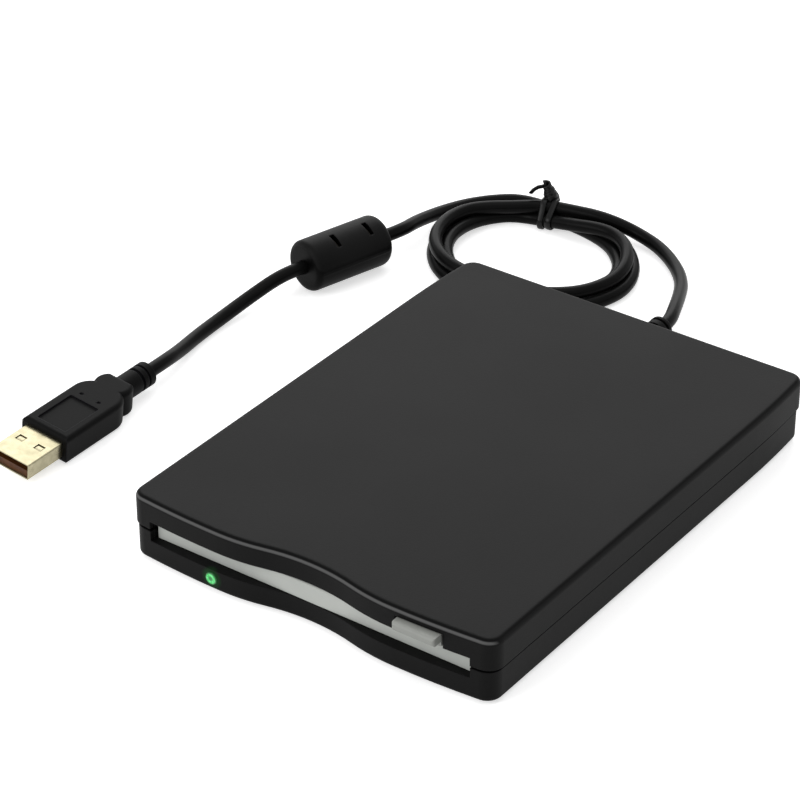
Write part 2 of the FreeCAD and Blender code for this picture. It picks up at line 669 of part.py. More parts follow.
# ---------------------------------------------------------------- heads
def make_head_drive():
    x = "screw_line_x"
    z = "screw_line_z"
    can = rod("MotorCan", 5.1, x, "motor_y + 0.6", z, 7.2, "y")
    nose = rod("MotorCollar", 2.6, x, "motor_y", z, 0.8, "y")
    blank = soften("MotorRound", join("MotorBlank", can, nose), 0.5, lambda e: e.BoundBox.YMin > size("motor_y") + 7.7)
    bore = rod("MotorBore", "1.2 + fit", x, "motor_y - 1", z, 3.4, "y")
    node(cut("StepperMotor", blank, bore), "stepper_motor")

    radius = size("lead_radius")
    thread = Part.makeCylinder(radius, 18.2, Vector(0, 0, 1.4))
    journal = Part.makeCylinder(0.9, 1.5)
    shaft = Part.makeCylinder(1.2, 2.6, Vector(0, 0, 19.5))
    helix = Part.makeHelix(size("lead_pitch"), 15.6, radius)
    groove = Part.Wire(helix.Edges).makePipeShell([groove_profile(radius)], True, True)
    groove.translate(Vector(0, 0, 2.7))
    screw = thread.cut(groove).fuse([journal, shaft]).removeSplitter()
    start = Vector(size("screw_line_x"), size("rail_front"), size("screw_line_z"))
    shape_node("lead_screw", screw, Placement(start, ALONG["y"]))

    for i, side in enumerate((-1, 1)):
        guide = rod("GuideRod%d" % i, "rod_radius", "%d * rod_x" % side, "rail_front", "rod_z", "tray_back - rail_front - 1.9", "y")
        node(guide, "guide_rod_" + ("left", "right")[i])


def groove_profile(radius):
    """The round section of the lead screw's groove, at the start of its helix."""
    circle = Part.Circle(Vector(radius + 0.25, 0, 0), Y_AXIS, 0.55)
    return Part.Wire([circle.toShape()])


def make_carriage():
    front = "carriage_front"
    back = "carriage_back"
    pieces = [
        block("CarriageBody", -13, 13, front, back, 5.0, 9.4),
        block("LowerArm", -4.5, 4.5, "head_y - 3.4", "carriage_front + 2", 3.9, 5.0),
        block("ArmRoot", -4.5, 4.5, front, "carriage_front + 4", 3.9, 5.1),
        block("NutArm", 12.5, "screw_line_x - 1.1", "carriage_front + 0.4", "carriage_front + 3.2", 6.9, 9.4),
        rod("NutRing", 3.2, "screw_line_x", "carriage_front + 0.4", "screw_line_z", 2.8, "y"),
        block("FlagArm", "screw_line_x + 1.7", "screw_line_x + 8.9", "carriage_front + 0.6", "carriage_front + 1.6", 8.9, 9.9),
        block("Flag", "screw_line_x + 8.1", "screw_line_x + 8.9", "carriage_front + 0.6", "carriage_front + 5", 5.0, 9.9),
        block("EarLeft", -7.0, -5.4, "arm_axis_y - 1.6", "arm_axis_y + 1.6", 9, 12.4),
        block("EarRight", 5.4, 7.0, "arm_axis_y - 1.6", "arm_axis_y + 1.6", 9, 12.4),
        rod("ArmPin", 0.6, -7, "arm_axis_y", "arm_axis_z", 14, "x"),
    ]
    holes = [
        rod("BoreLeft", "rod_radius + fit", "-rod_x", "carriage_front - 1", "rod_z", 10, "y"),
        rod("BoreRight", "rod_radius + fit", "rod_x", "carriage_front - 1", "rod_z", 10, "y"),
        rod("NutBore", "lead_radius + fit", "screw_line_x", "carriage_front - 1", "screw_line_z", 6, "y"),
        block("BodyWell", -4.4, 4.4, "carriage_front + 5", "carriage_back - 1", 7.4, 10),
    ]
    node(cut("HeadCarriage", join("CarriageBlank", *pieces), *holes), "head_carriage")
    low = block("LowerHeadBlock", -2.4, 2.4, "head_y - 1.7", "head_y + 1.7", 5.0, 6.8)
    gap = block("LowerHeadGap", -0.25, 0.25, "head_y - 2", "head_y + 2", 6.4, 7)
    node(cut("LowerHead", low, gap), "lower_head")


def arm_frame(obj):
    """Turn a piece of the upper arm up about its hinge, into the place it rests in with no disk."""
    hinge = Vector(0, size("arm_axis_y"), size("arm_axis_z"))
    obj.Placement = Placement(Vector(0, 0, 0), Rotation(X_AXIS, -size("arm_lift")), hinge)
    return obj


def make_upper_arm():
    barrel = rod("ArmBarrel", 1.2, -4.9, "arm_axis_y", "arm_axis_z", 9.8, "x")
    plate = block("ArmPlate", -4.0, 4.0, "head_y - 3.2", "arm_axis_y", "arm_axis_z - 0.5", "arm_axis_z + 0.5")
    rib_a = block("ArmRibA", -4.0, -3.2, "head_y - 3.2", "arm_axis_y - 4", "arm_axis_z", "arm_axis_z + 1.2")
    rib_b = block("ArmRibB", 3.2, 4.0, "head_y - 3.2", "arm_axis_y - 4", "arm_axis_z", "arm_axis_z + 1.2")
    hole = rod("ArmBore", "0.6 + fit", -6, "arm_axis_y", "arm_axis_z", 12, "x")
    window = block("ArmWindow", -2.2, 2.2, "head_y + 7.5", "head_y + 25.5", 10, 12)
    node(arm_frame(cut("UpperArm", join("ArmBlank", barrel, plate, rib_a, rib_b), hole, window)), "upper_head_arm")
    head = block("UpperHeadBlock", -2.2, 2.2, "head_y - 1.6", "head_y + 1.6", 7.1, "arm_axis_z - 0.5")
    gap = block("UpperHeadGap", -0.25, 0.25, "head_y - 2", "head_y + 2", 6.5, 7.5)
    node(arm_frame(cut("UpperHead", head, gap)), "upper_head")


def make_ribbon():
    """A flat cable on edge: it bends in a U, so that the carriage can run to and fro."""
    left = -20.8
    right = -13.2
    bend_y = size("carriage_back") - 1.0
    start_y = size("carriage_front") + 2.0
    foot_y = size("tray_back") - 18.5
    radius = (right - left) / 2
    middle = (right + left) / 2
    t = 0.2
    profile = [
        line((right + t, start_y), (right + t, bend_y)),
        arc((right + t, bend_y), (middle, bend_y + radius + t), (left - t, bend_y)),
        line((left - t, bend_y), (left - t, foot_y)),
        line((left - t, foot_y), (left + t, foot_y)),
        line((left + t, foot_y), (left + t, bend_y)),
        arc((left + t, bend_y), (middle, bend_y + radius - t), (right - t, bend_y)),
        line((right - t, bend_y), (right - t, start_y)),
        line((right - t, start_y), (right + t, start_y)),
    ]
    band = tool_body("RibbonBand", "XY_Plane", 5.0, 8.6, profile)
    tail = block("RibbonTail", left - t, left + t, foot_y, foot_y + 3, "tray_floor", 5.1)
    node(join("HeadRibbon", band, tail), "head_ribbon")


def make_sensor():
    base = block("SensorBase", "screw_line_x + 6.7", "screw_line_x + 10.3", "carriage_front", "carriage_back - 1", 3.6, 8.5)
    gap = block("SensorGap", "screw_line_x + 7.7", "screw_line_x + 9.3", "carriage_front - 1", "carriage_back", 4.6, 9)
    node(cut("TrackSensor", base, gap), "track_sensor")


# ---------------------------------------------------------------- loading gear
def make_holder():
    half = "holder_half"
    front = "holder_front"
    back = "holder_back"
    thick = 0.5
    pieces = [
        block("HolderTop", "-" + half, half, front, back, "holder_top - 0.5", "holder_top"),
        rod("LeverStud", 1.2, "lever_x", "lever_y", "holder_top - 0.2", 1.5),
        rod("LeverCap", 2.1, "lever_x", "lever_y", 12.2, 0.4),
    ]
    for i, side in enumerate((-1, 1)):
        outer = size("holder_half") * side
        low_x, high_x = sorted((outer, outer - side * thick))
        pieces.append(block("HolderSide%d" % i, low_x, high_x, front, back, "holder_low", "holder_top"))
        low_x, high_x = sorted((outer, outer - side * 2.7))
        pieces.append(block("HolderLip%d" % i, low_x, high_x, front, back, "holder_low", "holder_low + 0.5"))
        start = ("-holder_half - 2.9", "holder_half - 0.3")[i]
        for j, y in enumerate(("pin_front", "pin_back")):
            pieces.append(rod("HolderPin%d%d" % (i, j), "pin_radius", start, y, "pin_z", 3.2, "x"))
    head = size("head_y")
    hub = size("spindle_y")
    arc_slot = lever_track(size("lever_reach") - 1.2, size("lever_reach") + 1.2, -59, 14, 10.5, 12)
    holes = [
        tool_body("HeadRoom", "XY_Plane", 10, 12, soft_rectangle(-9, 9, head - 21.5, head + 16.5, 2)),
        tool_body("HolderWindow", "XY_Plane", 10, 12, soft_rectangle(-24, 24, hub - 32, hub + 8, 6)),
        arc_slot,
    ]
    node(cut("DiskHolder", join("HolderBlank", *pieces), *holes), "disk_holder")


def lever_track(inner, outer, start, end, low, high):
    """The curved slot that the lever's finger sweeps in the holder's roof."""
    cx = size("lever_x")
    cy = size("lever_y")

    def at(radius, angle):
        return (cx + radius * math.cos(math.radians(angle)), cy + radius * math.sin(math.radians(angle)))

    middle = (start + end) / 2
    edges = [
        arc(at(inner, start), at(inner, middle), at(inner, end)),
        line(at(inner, end), at(outer, end)),
        arc(at(outer, end), at(outer, middle), at(outer, start)),
        line(at(outer, start), at(inner, start)),
    ]
    return tool_body("FingerTrack", "XY_Plane", low, high, edges)


def make_lever():
    """Built along +X from its pivot, then turned to where it waits for a disk."""
    reach = size("lever_reach")
    eye = Part.makeCylinder(2.6, 0.6, Vector(0, 0, 11.5))
    bar = Part.makeBox(reach, 2.6, 0.6, Vector(0, -1.3, 11.5))
    tip = Part.makeCylinder(1.3, 0.6, Vector(reach, 0, 11.5))
    finger = Part.makeCylinder(0.8, 4.4, Vector(reach, 0, 7.5))
    hole = Part.makeCylinder(1.2 + size("fit"), 3, Vector(0, 0, 10.5))
    shape = eye.fuse([bar, tip, finger]).cut(hole).removeSplitter()
    obj = doc.addObject("Part::Feature", "ShutterLever")
    obj.Shape = shape
    obj.Placement = Placement(Vector(0, 0, 0), Rotation(Z_AXIS, size("lever_rest")))
    bind(obj, "Placement.Base.x", "lever_x")
    bind(obj, "Placement.Base.y", "lever_y")
    node(obj, "shutter_lever")


def slide_cam(name, side, y):
    """The slanted slot in the slide plate's flange that lifts and drops one pin of the holder."""
    reach = 1.2
    drop = size("load_drop")
    stroke = size("load_stroke")
    lean = math.atan2(-drop, stroke)
    nx = -math.sin(lean) * reach
    nz = math.cos(lean) * reach
    start = (y, size("pin_z"))
    end = (y + stroke, size("pin_z") - drop)
    back = (start[0] - math.cos(lean) * reach, start[1] - math.sin(lean) * reach)
    ahead = (end[0] + math.cos(lean) * reach, end[1] + math.sin(lean) * reach)
    edges = [
        line((start[0] + nx, start[1] + nz), (end[0] + nx, end[1] + nz)),
        arc((end[0] + nx, end[1] + nz), ahead, (end[0] - nx, end[1] - nz)),
        line((end[0] - nx, end[1] - nz), (start[0] - nx, start[1] - nz)),
        arc((start[0] - nx, start[1] - nz), back, (start[0] + nx, start[1] + nz)),
    ]
    low = size("slide_half") * side - 1.5
    return tool_body(name, "YZ_Plane", low, low + 3, edges)


def make_slide():
    low = "slide_under"
    high = "slide_under + 0.5"
    back = "holder_back - 2"
    head = size("head_y")
    hub = size("spindle_y")
    pieces = [
        block("SlideTop", "-slide_half", "slide_half", "tray_front + 3.5", back, low, high),
        block("SlideTab", "notch_left + 4", "notch_left + 9", "tray_front - 2.7", "tray_front + 4.5", low, high),
    ]
    holes = [
        tool_body("SlideRoom", "XY_Plane", 12, 14, soft_rectangle(-13, 13, head - 26.5, head + 16.5, 2)),
        tool_body("SlideWindow", "XY_Plane", 12, 14, soft_rectangle(-28, 28, hub - 32, hub + 4, 6)),
    ]
    for i, side in enumerate((-1, 1)):
        outer = size("slide_half") * side
        hook = "%d * spring_x" % side
        low_x, high_x = sorted((outer, outer - side * 0.5))
        pieces.append(block("SlideFlange%d" % i, low_x, high_x, "tray_front + 4.5", back, 4.9, high))
        pieces.append(block("SlideHook%d" % i, hook + " - 1.5", hook + " + 1.5", "spring_y + 30", "spring_y + 30.5", low, 14.8))
        for j, y in enumerate(("pin_front", "pin_back")):
            holes.append(slide_cam("SlideCam%d%d" % (i, j), side, size(y)))
    node(cut("SlidePlate", join("SlideBlank", *pieces), *holes), "slide_plate")


def make_slide_springs():
    """Two tension springs that pull the slide plate forward when a disk lets it go."""
    for i, side in enumerate((-1, 1)):
        start = size("spring_y") + 0.15
        length = 29.6
        coil = Part.Wire(Part.makeHelix(1.5, length, 0.42).Edges)
        section = Part.Wire([Part.Circle(Vector(0.42, 0, 0), Y_AXIS, 0.22).toShape()])
        spring = coil.makePipeShell([section], True, True)
        place = Placement(Vector(size("spring_x") * side, start, 14.35), ALONG["y"])
        shape_node("slide_spring_" + ("left", "right")[i], spring, place)


def make_switches():
    for i, side in enumerate((-1, 1)):
        x = size("spring_x") * side
        y = size("switch_y")
        label = ("protect", "media")[i]
        base = block("SwitchBody%d" % i, x - 2, x + 2, y - 2, y + 2, 3.6, 4.9)
        bore = rod("SwitchBore%d" % i, "0.8 + fit", x, y, 3.9, 2)
        node(cut("SwitchBase%d" % i, base, bore), label + "_switch")
        stem = rod("PlungerRod%d" % i, 0.8, x, y, 4.6, 1.3)
        dome = soften("PlungerDome%d" % i, stem, 0.3, level(5.9))
        node(dome, label + "_plunger")


# ---------------------------------------------------------------- cord
def unit(vector):
    return vector * (1.0 / vector.Length)


def cord_path(label, points):
    """Straight runs joined by tangent arcs, each as large as its two runs allow."""
    points = [Vector(*p) for p in points]
    edges = []
    start = points[0]
    radii = []
    for before, corner, after in zip(points, points[1:], points[2:]):
        back = unit(before - corner)
        ahead = unit(after - corner)
        half_turn = (math.pi - back.getAngle(ahead)) / 2
        reach = 0.45 * min((before - corner).Length, (after - corner).Length)
        radius = reach / math.tan(half_turn)
        radii.append(round(radius, 1))
        into = unit(back + ahead)
        centre = corner + into * (radius / math.cos(half_turn))
        edges.append(Part.LineSegment(start, corner + back * reach).toShape())
        middle = centre - into * radius
        edges.append(Part.Arc(corner + back * reach, middle, corner + ahead * reach).toShape())
        start = corner + ahead * reach
    edges.append(Part.LineSegment(start, points[-1]).toShape())
    wire = Part.Wire(edges)
    print("%s: length %.1f, bend radii %s" % (label, wire.Length, radii))
    return wire


def cord_tube(label, points, radius):
    wire = cord_path(label, points)
    first = Vector(*points[0])
    direction = Vector(*points[1]) - first
    ring = Part.Wire([Part.Circle(first, direction, radius).toShape()])
    tube = wire.makePipeShell([ring], True, True)
    expected = math.pi * radius ** 2 * wire.Length
    print("%s: volume %.1f, section times length %.1f" % (label, tube.Volume, expected))
    shape_node(label, tube)


TAIL_ROUTE = [
    (0.3, 85.2, 7.3),
    (0.3, 93.6, 7.4),
    (-3.8, 105.6, 6.0),
    (-13.4, 119.4, 3.2),
    (-27.5, 130.6, 1.96),
    (-46.5, 134.3, 1.96),
    (-61.5, 134.1, 1.96),
]
LEAD_ROUTE = [
    (-61.5, 134.1, 1.96),
    (-71.5, 132.7, 1.96),
    (-80.0, 127.6, 1.96),
    (-85.6, 119.6, 2.2),
    (-87.8, 109.8, 3.4),
    (-87.5, 99.6, 5.7),
    (-86.44, 88.65, 7.35),
    (-88.92, 80.0, 7.35),
]
RUN_ROUTE = [
    (-95.86, 55.78, 7.35),
    (-98.06, 48.09, 7.35),
    (-101.6, 39.0, 4.3),
    (-103.2, 28.4, 2.1),
    (-102.7, 17.2, 1.96),
    (-100.9, 7.4, 2.7),
    (-97.9, -2.0, 4.75),
    (-97.9, -9.4, 4.75),
]


def make_gland():
    x = "gland_x"
    z = "gland_z"
    flange = block("GlandFlange", "gland_x - 4.6", "gland_x + 4.6", "case_reach - 3.75", "case_reach - 2.05", 4.4, 10.6)
    neck = rod("GlandNeck", 3.4, x, "case_reach - 2.35", z, 2.6, "y")
    sleeve = cone("GlandSleeve", 3.8, 3.3, x, "case_reach", z, "gland_y - case_reach - 1.3", "y")
    grooves = []
    for i in range(4):
        start = "gland_y - 2.2 - %s" % (2.7 * i)
        ring = rod("GrooveOut%d" % i, 5.0, x, start, z, 0.9, "y")
        core = rod("GrooveIn%d" % i, 2.6, x, start + " - 1", z, 3.0, "y")
        grooves.append(cut("Groove%d" % i, ring, core))
    blank = cut("GlandRibbed", sleeve, *grooves)
    end_ring = rod("GlandEnd", 3.4, x, "gland_y - 1.3", z, 1.3, "y")
    rounded = soften("GlandLip", end_ring, 0.5, lambda e: e.BoundBox.YLength < 1e-4 and e.BoundBox.YMin > size("gland_y") - 0.1)
    node(join("CableGland", flange, neck, blank, rounded), "cable_gland")


def coil_outline(shift):
    """Plan of the coil: two half circles and two short straights, moved out by a shift."""
    cx = size("coil_x")
    cy = size("coil_y")
    half = size("coil_straight") / 2
    r = size("coil_bend") + shift
    return [
        line((cx - half, cy - r), (cx + half, cy - r)),
        arc((cx + half, cy - r), (cx + half + r, cy), (cx + half, cy + r)),
        line((cx + half, cy + r), (cx - half, cy + r)),
        arc((cx - half, cy + r), (cx - half - r, cy), (cx - half, cy - r)),
    ]


def make_coil():
    """The tied bundle of turns as one solid ring with soft edges."""
    wide = size("coil_wide") / 2
    body = doc.addObject("PartDesign::Body", "CoilBody")
    pad(body, "CoilPad", "XY_Plane", 0.05, coil_outline(wide), "coil_high")
    pocket(body, "CoilHole", "XY_Plane", "coil_high + 0.05", coil_outline(-wide), "coil_high")
    round_edges(body, "CoilRound", 2.4, lambda e: e.BoundBox.ZLength < 1e-4)
    node(body, "cord_coil")


def bead_place(obj):
    """The bead lies on the surface, turned to follow the cord."""
    turn = Rotation(Z_AXIS, -size("bead_turn"))
    obj.Placement = Placement(Vector(size("bead_x"), size("bead_y"), size("bead_radius") + 0.05), turn)
    return obj


def make_bead():
    """Built along +Y from its near end, then turned into place."""
    skin = rod("BeadSkin", "bead_radius", 0, 0, 0, "bead_length", "y")
    rounded = soften("BeadRound", skin, 1.3, lambda e: e.BoundBox.YLength < 1e-4)
    parting = block("BeadParting", "-bead_radius - 0.15", "bead_radius + 0.15", 1.8, "bead_length - 1.8", -0.25, 0.25)
    core_room = core_tube("Room")
    slots = []
    turn = Rotation(Y_AXIS, 24)
    for i, start in enumerate((7.7, 18.7)):
        slot = doc.addObject("Part::Box", "BeadSlot%d" % i)
        slot.Length = 4.4
        slot.Width = 1.5
        slot.Height = 4.0
        slot.Placement = Placement(turn.multVec(Vector(-2.2, 0, 5.0)) + Vector(0, start, 0), turn)
        slots.append(slot)
    moulding = cut("BeadMoulding", join("BeadBlank", rounded, parting), core_room, *slots)
    node(bead_place(moulding), "bead_moulding")
    node(bead_place(core_tube("FerriteCore")), "ferrite_core")


def core_tube(name):
    """The tube of ferrite round the cord, also the room that it takes in its moulding."""
    outer = rod(name + "Outer", "bead_radius - 1.7", 0, 2.4, 0, "bead_length - 4.8", "y")
    inner = rod(name + "Inner", 2.2, 0, 1.4, 0, "bead_length - 2.8", "y")
    return cut(name, outer, inner)


def plug_place(obj):
    """The plug lies rolled a few degrees about its length, as its cord's twist leaves it."""
    middle = Vector(size("plug_x"), 0, size("plug_z"))
    obj.Placement = Placement(Vector(0, 0, 0), Rotation(Y_AXIS, size("plug_roll")), middle)
    return obj


def make_plug():
    x = size("plug_x")
    front = size("plug_front")
    half = size("plug_wide") / 2
    low = size("plug_z") - size("plug_high") / 2
    plan = [
        line((x - half, front), (x + half, front)),
        line((x + half, front), (x + half, front + 19.5)),
        arc((x + half, front + 19.5), (x + half - 0.75, front + 22.6), (x + half - 2.5, front + 24.6)),
        arc((x + half - 2.5, front + 24.6), (x + half - 2.1, front + 27.4), (x + half - 3.6, front + 29.9)),
        line((x + half - 3.6, front + 29.9), (x - half + 3.6, front + 29.9)),
        arc((x - half + 3.6, front + 29.9), (x - half + 2.1, front + 27.4), (x - half + 2.5, front + 24.6)),
        arc((x - half + 2.5, front + 24.6), (x - half + 0.75, front + 22.6), (x - half, front + 19.5)),
        line((x - half, front + 19.5), (x - half, front)),
    ]
    body = doc.addObject("PartDesign::Body", "PlugBody")
    pad(body, "PlugPad", "XY_Plane", "plug_z - plug_high / 2", plan, "plug_high")
    round_edges(body, "PlugRound", 1.3, lambda e: e.BoundBox.ZLength < 1e-4)
    top = "plug_z + plug_high / 2"
    panel = soft_rectangle(x - 4.5, x + 4.7, front + 2.4, front + 15.3, 0.5)
    pocket(body, "PlugPanel", "XY_Plane", top, panel, 0.45)
    neck = [
        rod("NeckCore", 2.8, "plug_x", "plug_front + 29.0", "plug_z", 10.95, "y"),
        rod("RibA", 3.4, "plug_x", "plug_front + 29.0", "plug_z", 5.9, "y"),
        rod("RibB", 3.4, "plug_x", "plug_front + 35.9", "plug_z", 1.4, "y"),
        rod("RibC", 3.4, "plug_x", "plug_front + 38.1", "plug_z", 1.85, "y"),
    ]
    holes = [
        block("ShellRoom", "plug_x - shell_wide / 2", "plug_x + shell_wide / 2", "plug_front - 1", "plug_front + 6",
              "plug_z - shell_high / 2", "plug_z + shell_high / 2"),
        rod("DimpleA", 0.55, "plug_x - 2.8", "plug_front + 17.4", top + " - 0.3", 1),
        rod("DimpleB", 0.55, "plug_x + 2.9", "plug_front + 17.4", top + " - 0.3", 1),
    ]
    node(plug_place(cut("PlugMoulding", join("PlugBlank", body, *neck), *holes)), "plug_moulding")

    tip = "plug_front - shell_out"
    outer = block("ShellOuter", "plug_x - shell_wide / 2", "plug_x + shell_wide / 2", tip, "plug_front + 6",
                  "plug_z - shell_high / 2", "plug_z + shell_high / 2")
    soft = soften("ShellSoft", outer, 0.4, lambda e: e.BoundBox.YLength > 10)
    inner = block("ShellInner", "plug_x - shell_wide / 2 + shell_sheet", "plug_x + shell_wide / 2 - shell_sheet",
                  tip + " - 1", "plug_front + 7", "plug_z - shell_high / 2 + shell_sheet",
                  "plug_z + shell_high / 2 - shell_sheet")
    holes = [inner]
    for i, side in enumerate((-1, 1)):
        holes.append(block("LatchHole%d" % i, x + side * 3.0 - 1.2, x + side * 3.0 + 1.2,
                           "plug_front - 6.4", "plug_front - 4.2", "plug_z - 4", "plug_z + 4"))
    node(plug_place(cut("PlugShell", soft, *holes)), "plug_shell")
    tongue = block("TonguePlate", "plug_x - 5.6", "plug_x + 5.6", tip + " + 0.6", "plug_front + 6",
                   "plug_z - shell_high / 2 + shell_sheet", "plug_z - 0.15")
    root = block("TongueRoot", "plug_x - shell_wide / 2 + shell_sheet", "plug_x + shell_wide / 2 - shell_sheet",
                 "plug_front - 0.6", "plug_front + 6", "plug_z - shell_high / 2 + shell_sheet",
                 "plug_z + shell_high / 2 - shell_sheet")
    strips = contact_strips("Room")
    node(plug_place(cut("PlugTongue", join("TongueBlank", tongue, root), strips)), "plug_tongue")
    node(plug_place(contact_strips("Gold")), "plug_contacts")


def contact_strips(name):
    """Four gold strips on the tongue, joined by the carrier at their root."""
    pieces = [block(name + "Carrier", "plug_x - 4.2", "plug_x + 4.2", "plug_front + 1.5", "plug_front + 2.5",
                    "plug_z - 0.5", "plug_z - 0.2")]
    for i, x in enumerate((-3.5, -1.0, 1.0, 3.5)):
        pieces.append(block("%sStrip%d" % (name, i), "plug_x + %s - 0.5" % x, "plug_x + %s + 0.5" % x,
                            "plug_front - shell_out + 2.2", "plug_front + 2", "plug_z - 0.45", "plug_z - 0.1"))
    return join(name + "Contacts", *pieces)


def make_tie():
    """A wire tie wrapped round the coil and the cord beside it, its ends twisted upwards."""
    x = -63.2
    low = 0.55
    high = 7.75
    inner = 122.9
    outer = 135.9
    wire_radius = 0.5
    points = [
        (x, inner, 3.6), (x, inner, high), (x, 131.0, high), (x, outer, 4.2), (x, outer, low), (x, inner, low),
    ]
    corners = [Vector(*p) for p in points]
    ring = Part.makePolygon(corners + corners[:1])
    section = Part.Wire([Part.Circle(corners[0], Z_AXIS, wire_radius).toShape()])
    band = ring.makePipeShell([section], True, True, 2)
    stub = Part.makeCylinder(0.9, 5.6, Vector(x, 127.4, 7.6), Vector(-0.25, 0.1, 1.0))
    shape_node("twist_tie", band.fuse(stub).removeSplitter())


# ---------------------------------------------------------------- build
make_lower_shell()
make_upper_shell()
make_feet()
make_screws()
make_flap()
make_button()
make_lamp()
make_tray()
make_cover()
make_boards()
make_spindle()
make_head_drive()
make_carriage()
make_upper_arm()
make_ribbon()
make_sensor()
make_holder()
make_lever()
make_slide()
make_slide_springs()
make_switches()
make_gland()
cord_tube("cord_tail", TAIL_ROUTE, size("cord_radius"))
make_coil()
cord_tube("cord_lead", LEAD_ROUTE, size("cord_radius"))
make_bead()
cord_tube("cord_run", RUN_ROUTE, size("cord_radius"))
make_plug()
make_tie()
doc.recompute()

# ---------------------------------------------------------------- checks and files
for obj in doc.Objects:
    if "Invalid" in obj.State or "Error" in obj.State:
        raise RuntimeError("%s is %s" % (obj.Label, obj.State))
for obj in NODES:
    if obj.Shape.isNull() or not obj.Shape.isValid():
        raise RuntimeError(obj.Label + " has no valid shape")
os.makedirs("parts", exist_ok=True)
for obj in NODES:
    obj.Shape.exportStep("parts/%s.step" % obj.Label)
print("%d sub-parts written" % len(NODES))
for obj in NODES:
    solids = len(obj.Shape.Solids)
    if solids != 1:
        print("%s has %d solids" % (obj.Label, solids))
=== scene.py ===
# A slim external disk drive, seen from its front right corner.
# Its cord lies behind it, coiled and tied, and its plug lies beside it.
import math
import bpy
from mathutils import Matrix, Vector


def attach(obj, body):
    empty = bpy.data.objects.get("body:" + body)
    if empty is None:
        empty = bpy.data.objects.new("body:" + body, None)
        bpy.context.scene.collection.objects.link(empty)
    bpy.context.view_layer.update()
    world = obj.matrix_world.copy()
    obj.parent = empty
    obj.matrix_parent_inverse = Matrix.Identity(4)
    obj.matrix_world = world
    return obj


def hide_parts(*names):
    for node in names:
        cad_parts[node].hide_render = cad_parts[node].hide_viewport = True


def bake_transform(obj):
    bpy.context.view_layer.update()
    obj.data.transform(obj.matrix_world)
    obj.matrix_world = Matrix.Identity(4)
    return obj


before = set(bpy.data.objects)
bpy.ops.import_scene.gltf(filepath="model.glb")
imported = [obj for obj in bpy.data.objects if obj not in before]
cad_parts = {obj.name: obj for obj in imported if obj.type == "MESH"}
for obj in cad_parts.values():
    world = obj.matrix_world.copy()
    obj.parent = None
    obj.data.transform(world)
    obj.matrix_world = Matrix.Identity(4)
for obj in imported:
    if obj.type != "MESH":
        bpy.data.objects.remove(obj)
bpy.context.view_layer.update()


# The camera stands well back at the front right, and looks down on the drive.
# A long lens keeps the case's edges almost parallel.
camera_place = Vector((0.36705, -0.54012, 0.43430))
camera_turn = math.radians(35.866)
camera_rise = math.radians(31.924)
look_back = Vector((
    math.sin(camera_turn) * math.cos(camera_rise),
    -math.cos(camera_turn) * math.cos(camera_rise),
    math.sin(camera_rise),
))
lens = bpy.data.cameras.new("catalogue_lens")
lens.sensor_width = 36.0
lens.lens = 142.79
lens.clip_start = 0.01
lens.clip_end = 50.0
camera = bpy.data.objects.new("catalogue_camera", lens)
camera.location = camera_place
camera.rotation_euler = (-look_back).to_track_quat("-Z", "Y").to_euler()
bpy.context.scene.collection.objects.link(camera)
bpy.context.scene.camera = camera


# The cord is one round four-core cable with a black vinyl jacket, drawn over its cores in one length.
# It leaves the back of the case, is wound in three loose turns and tied, and runs on to the plug.
mm = 0.001
cord_width = 3.8
coil_middle = Vector((-53.95, 104.6))
coil_bend = 23.3
coil_straight = 4.05
coil_ease = 6  # how soon the two short straight stretches give way to the round ends
points_a_turn = 24


def coil_point(angle, out, height):
    """A point of the coil in mm: its angle in degrees, how far out of the middle line, and how high."""
    turn = math.radians(angle)
    side = math.cos(turn)
    middle = coil_middle.x + coil_straight * max(-1.0, min(1.0, side * coil_ease))
    reach = coil_bend + out
    return Vector((middle + reach * side, coil_middle.y + reach * math.sin(turn), height))


def between(steps, angle):
    """A value read from pairs of angle and value, with a straight change from each to the next."""
    for (low, first), (high, last) in zip(steps, steps[1:]):
        if angle <= high:
            share = (angle - low) / (high - low)
            return first + (last - first) * max(0.0, share)
    return steps[-1][1]


# How far out the cord lies from the coil's middle line, and how high, by the angle wound so far.
# The turns lie beside and on each other at the tie and fan out away from it.
coil_out = [
    (96, -1.0), (104, -1.8), (112, -2.7), (124, -3.6), (140, -3.2), (151, -1.6), (160, -0.4), (180, 0.3),
    (230, 0.4), (250, -0.1), (330, 0.6), (364, 0.7), (376, 0.2), (400, -0.3), (415, -1.0), (429, -2.7),
    (438, -4.1), (444, -4.8), (450, -5.0), (456, -4.8), (464, -4.2), (472, -3.2), (484, -1.5), (500, -1.4),
    (511, -2.0), (520, -2.5), (540, -3.0), (560, -2.9), (575, -2.8), (595, -2.5), (620, -2.3), (690, -2.4),
    (724, -2.1), (736, -1.9), (760, -2.8), (789, -2.8), (798, -2.3), (804, -1.8), (810, -1.3), (816, -0.8),
    (824, 0.0), (832, 1.0), (844, 2.5), (860, 2.5), (871, 1.9), (880, 1.4), (900, 0.8), (940, 0.9),
    (970, 1.5), (1050, 3.3), (1084, 3.2), (1096, 2.1), (1111, 1.5), (1125, 1.1), (1149, 1.2), (1158, 1.6),
    (1164, 2.0), (1170, 2.5), (1176, 3.1), (1184, 4.0), (1192, 5.2)]
coil_height = [
    (96, 5.85), (112, 5.85), (124, 5.65), (160, 5.75), (235, 5.75), (255, 5.3), (300, 5.2), (330, 4.75),
    (364, 4.75), (376, 5.25), (415, 5.4), (429, 5.7), (438, 5.4), (444, 4.9), (450, 4.2), (456, 3.4),
    (464, 2.5), (472, 2.0), (484, 1.95), (500, 1.95), (511, 2.2), (520, 2.6), (540, 3.1), (560, 3.2),
    (585, 2.9), (610, 1.95), (1200, 1.95)]

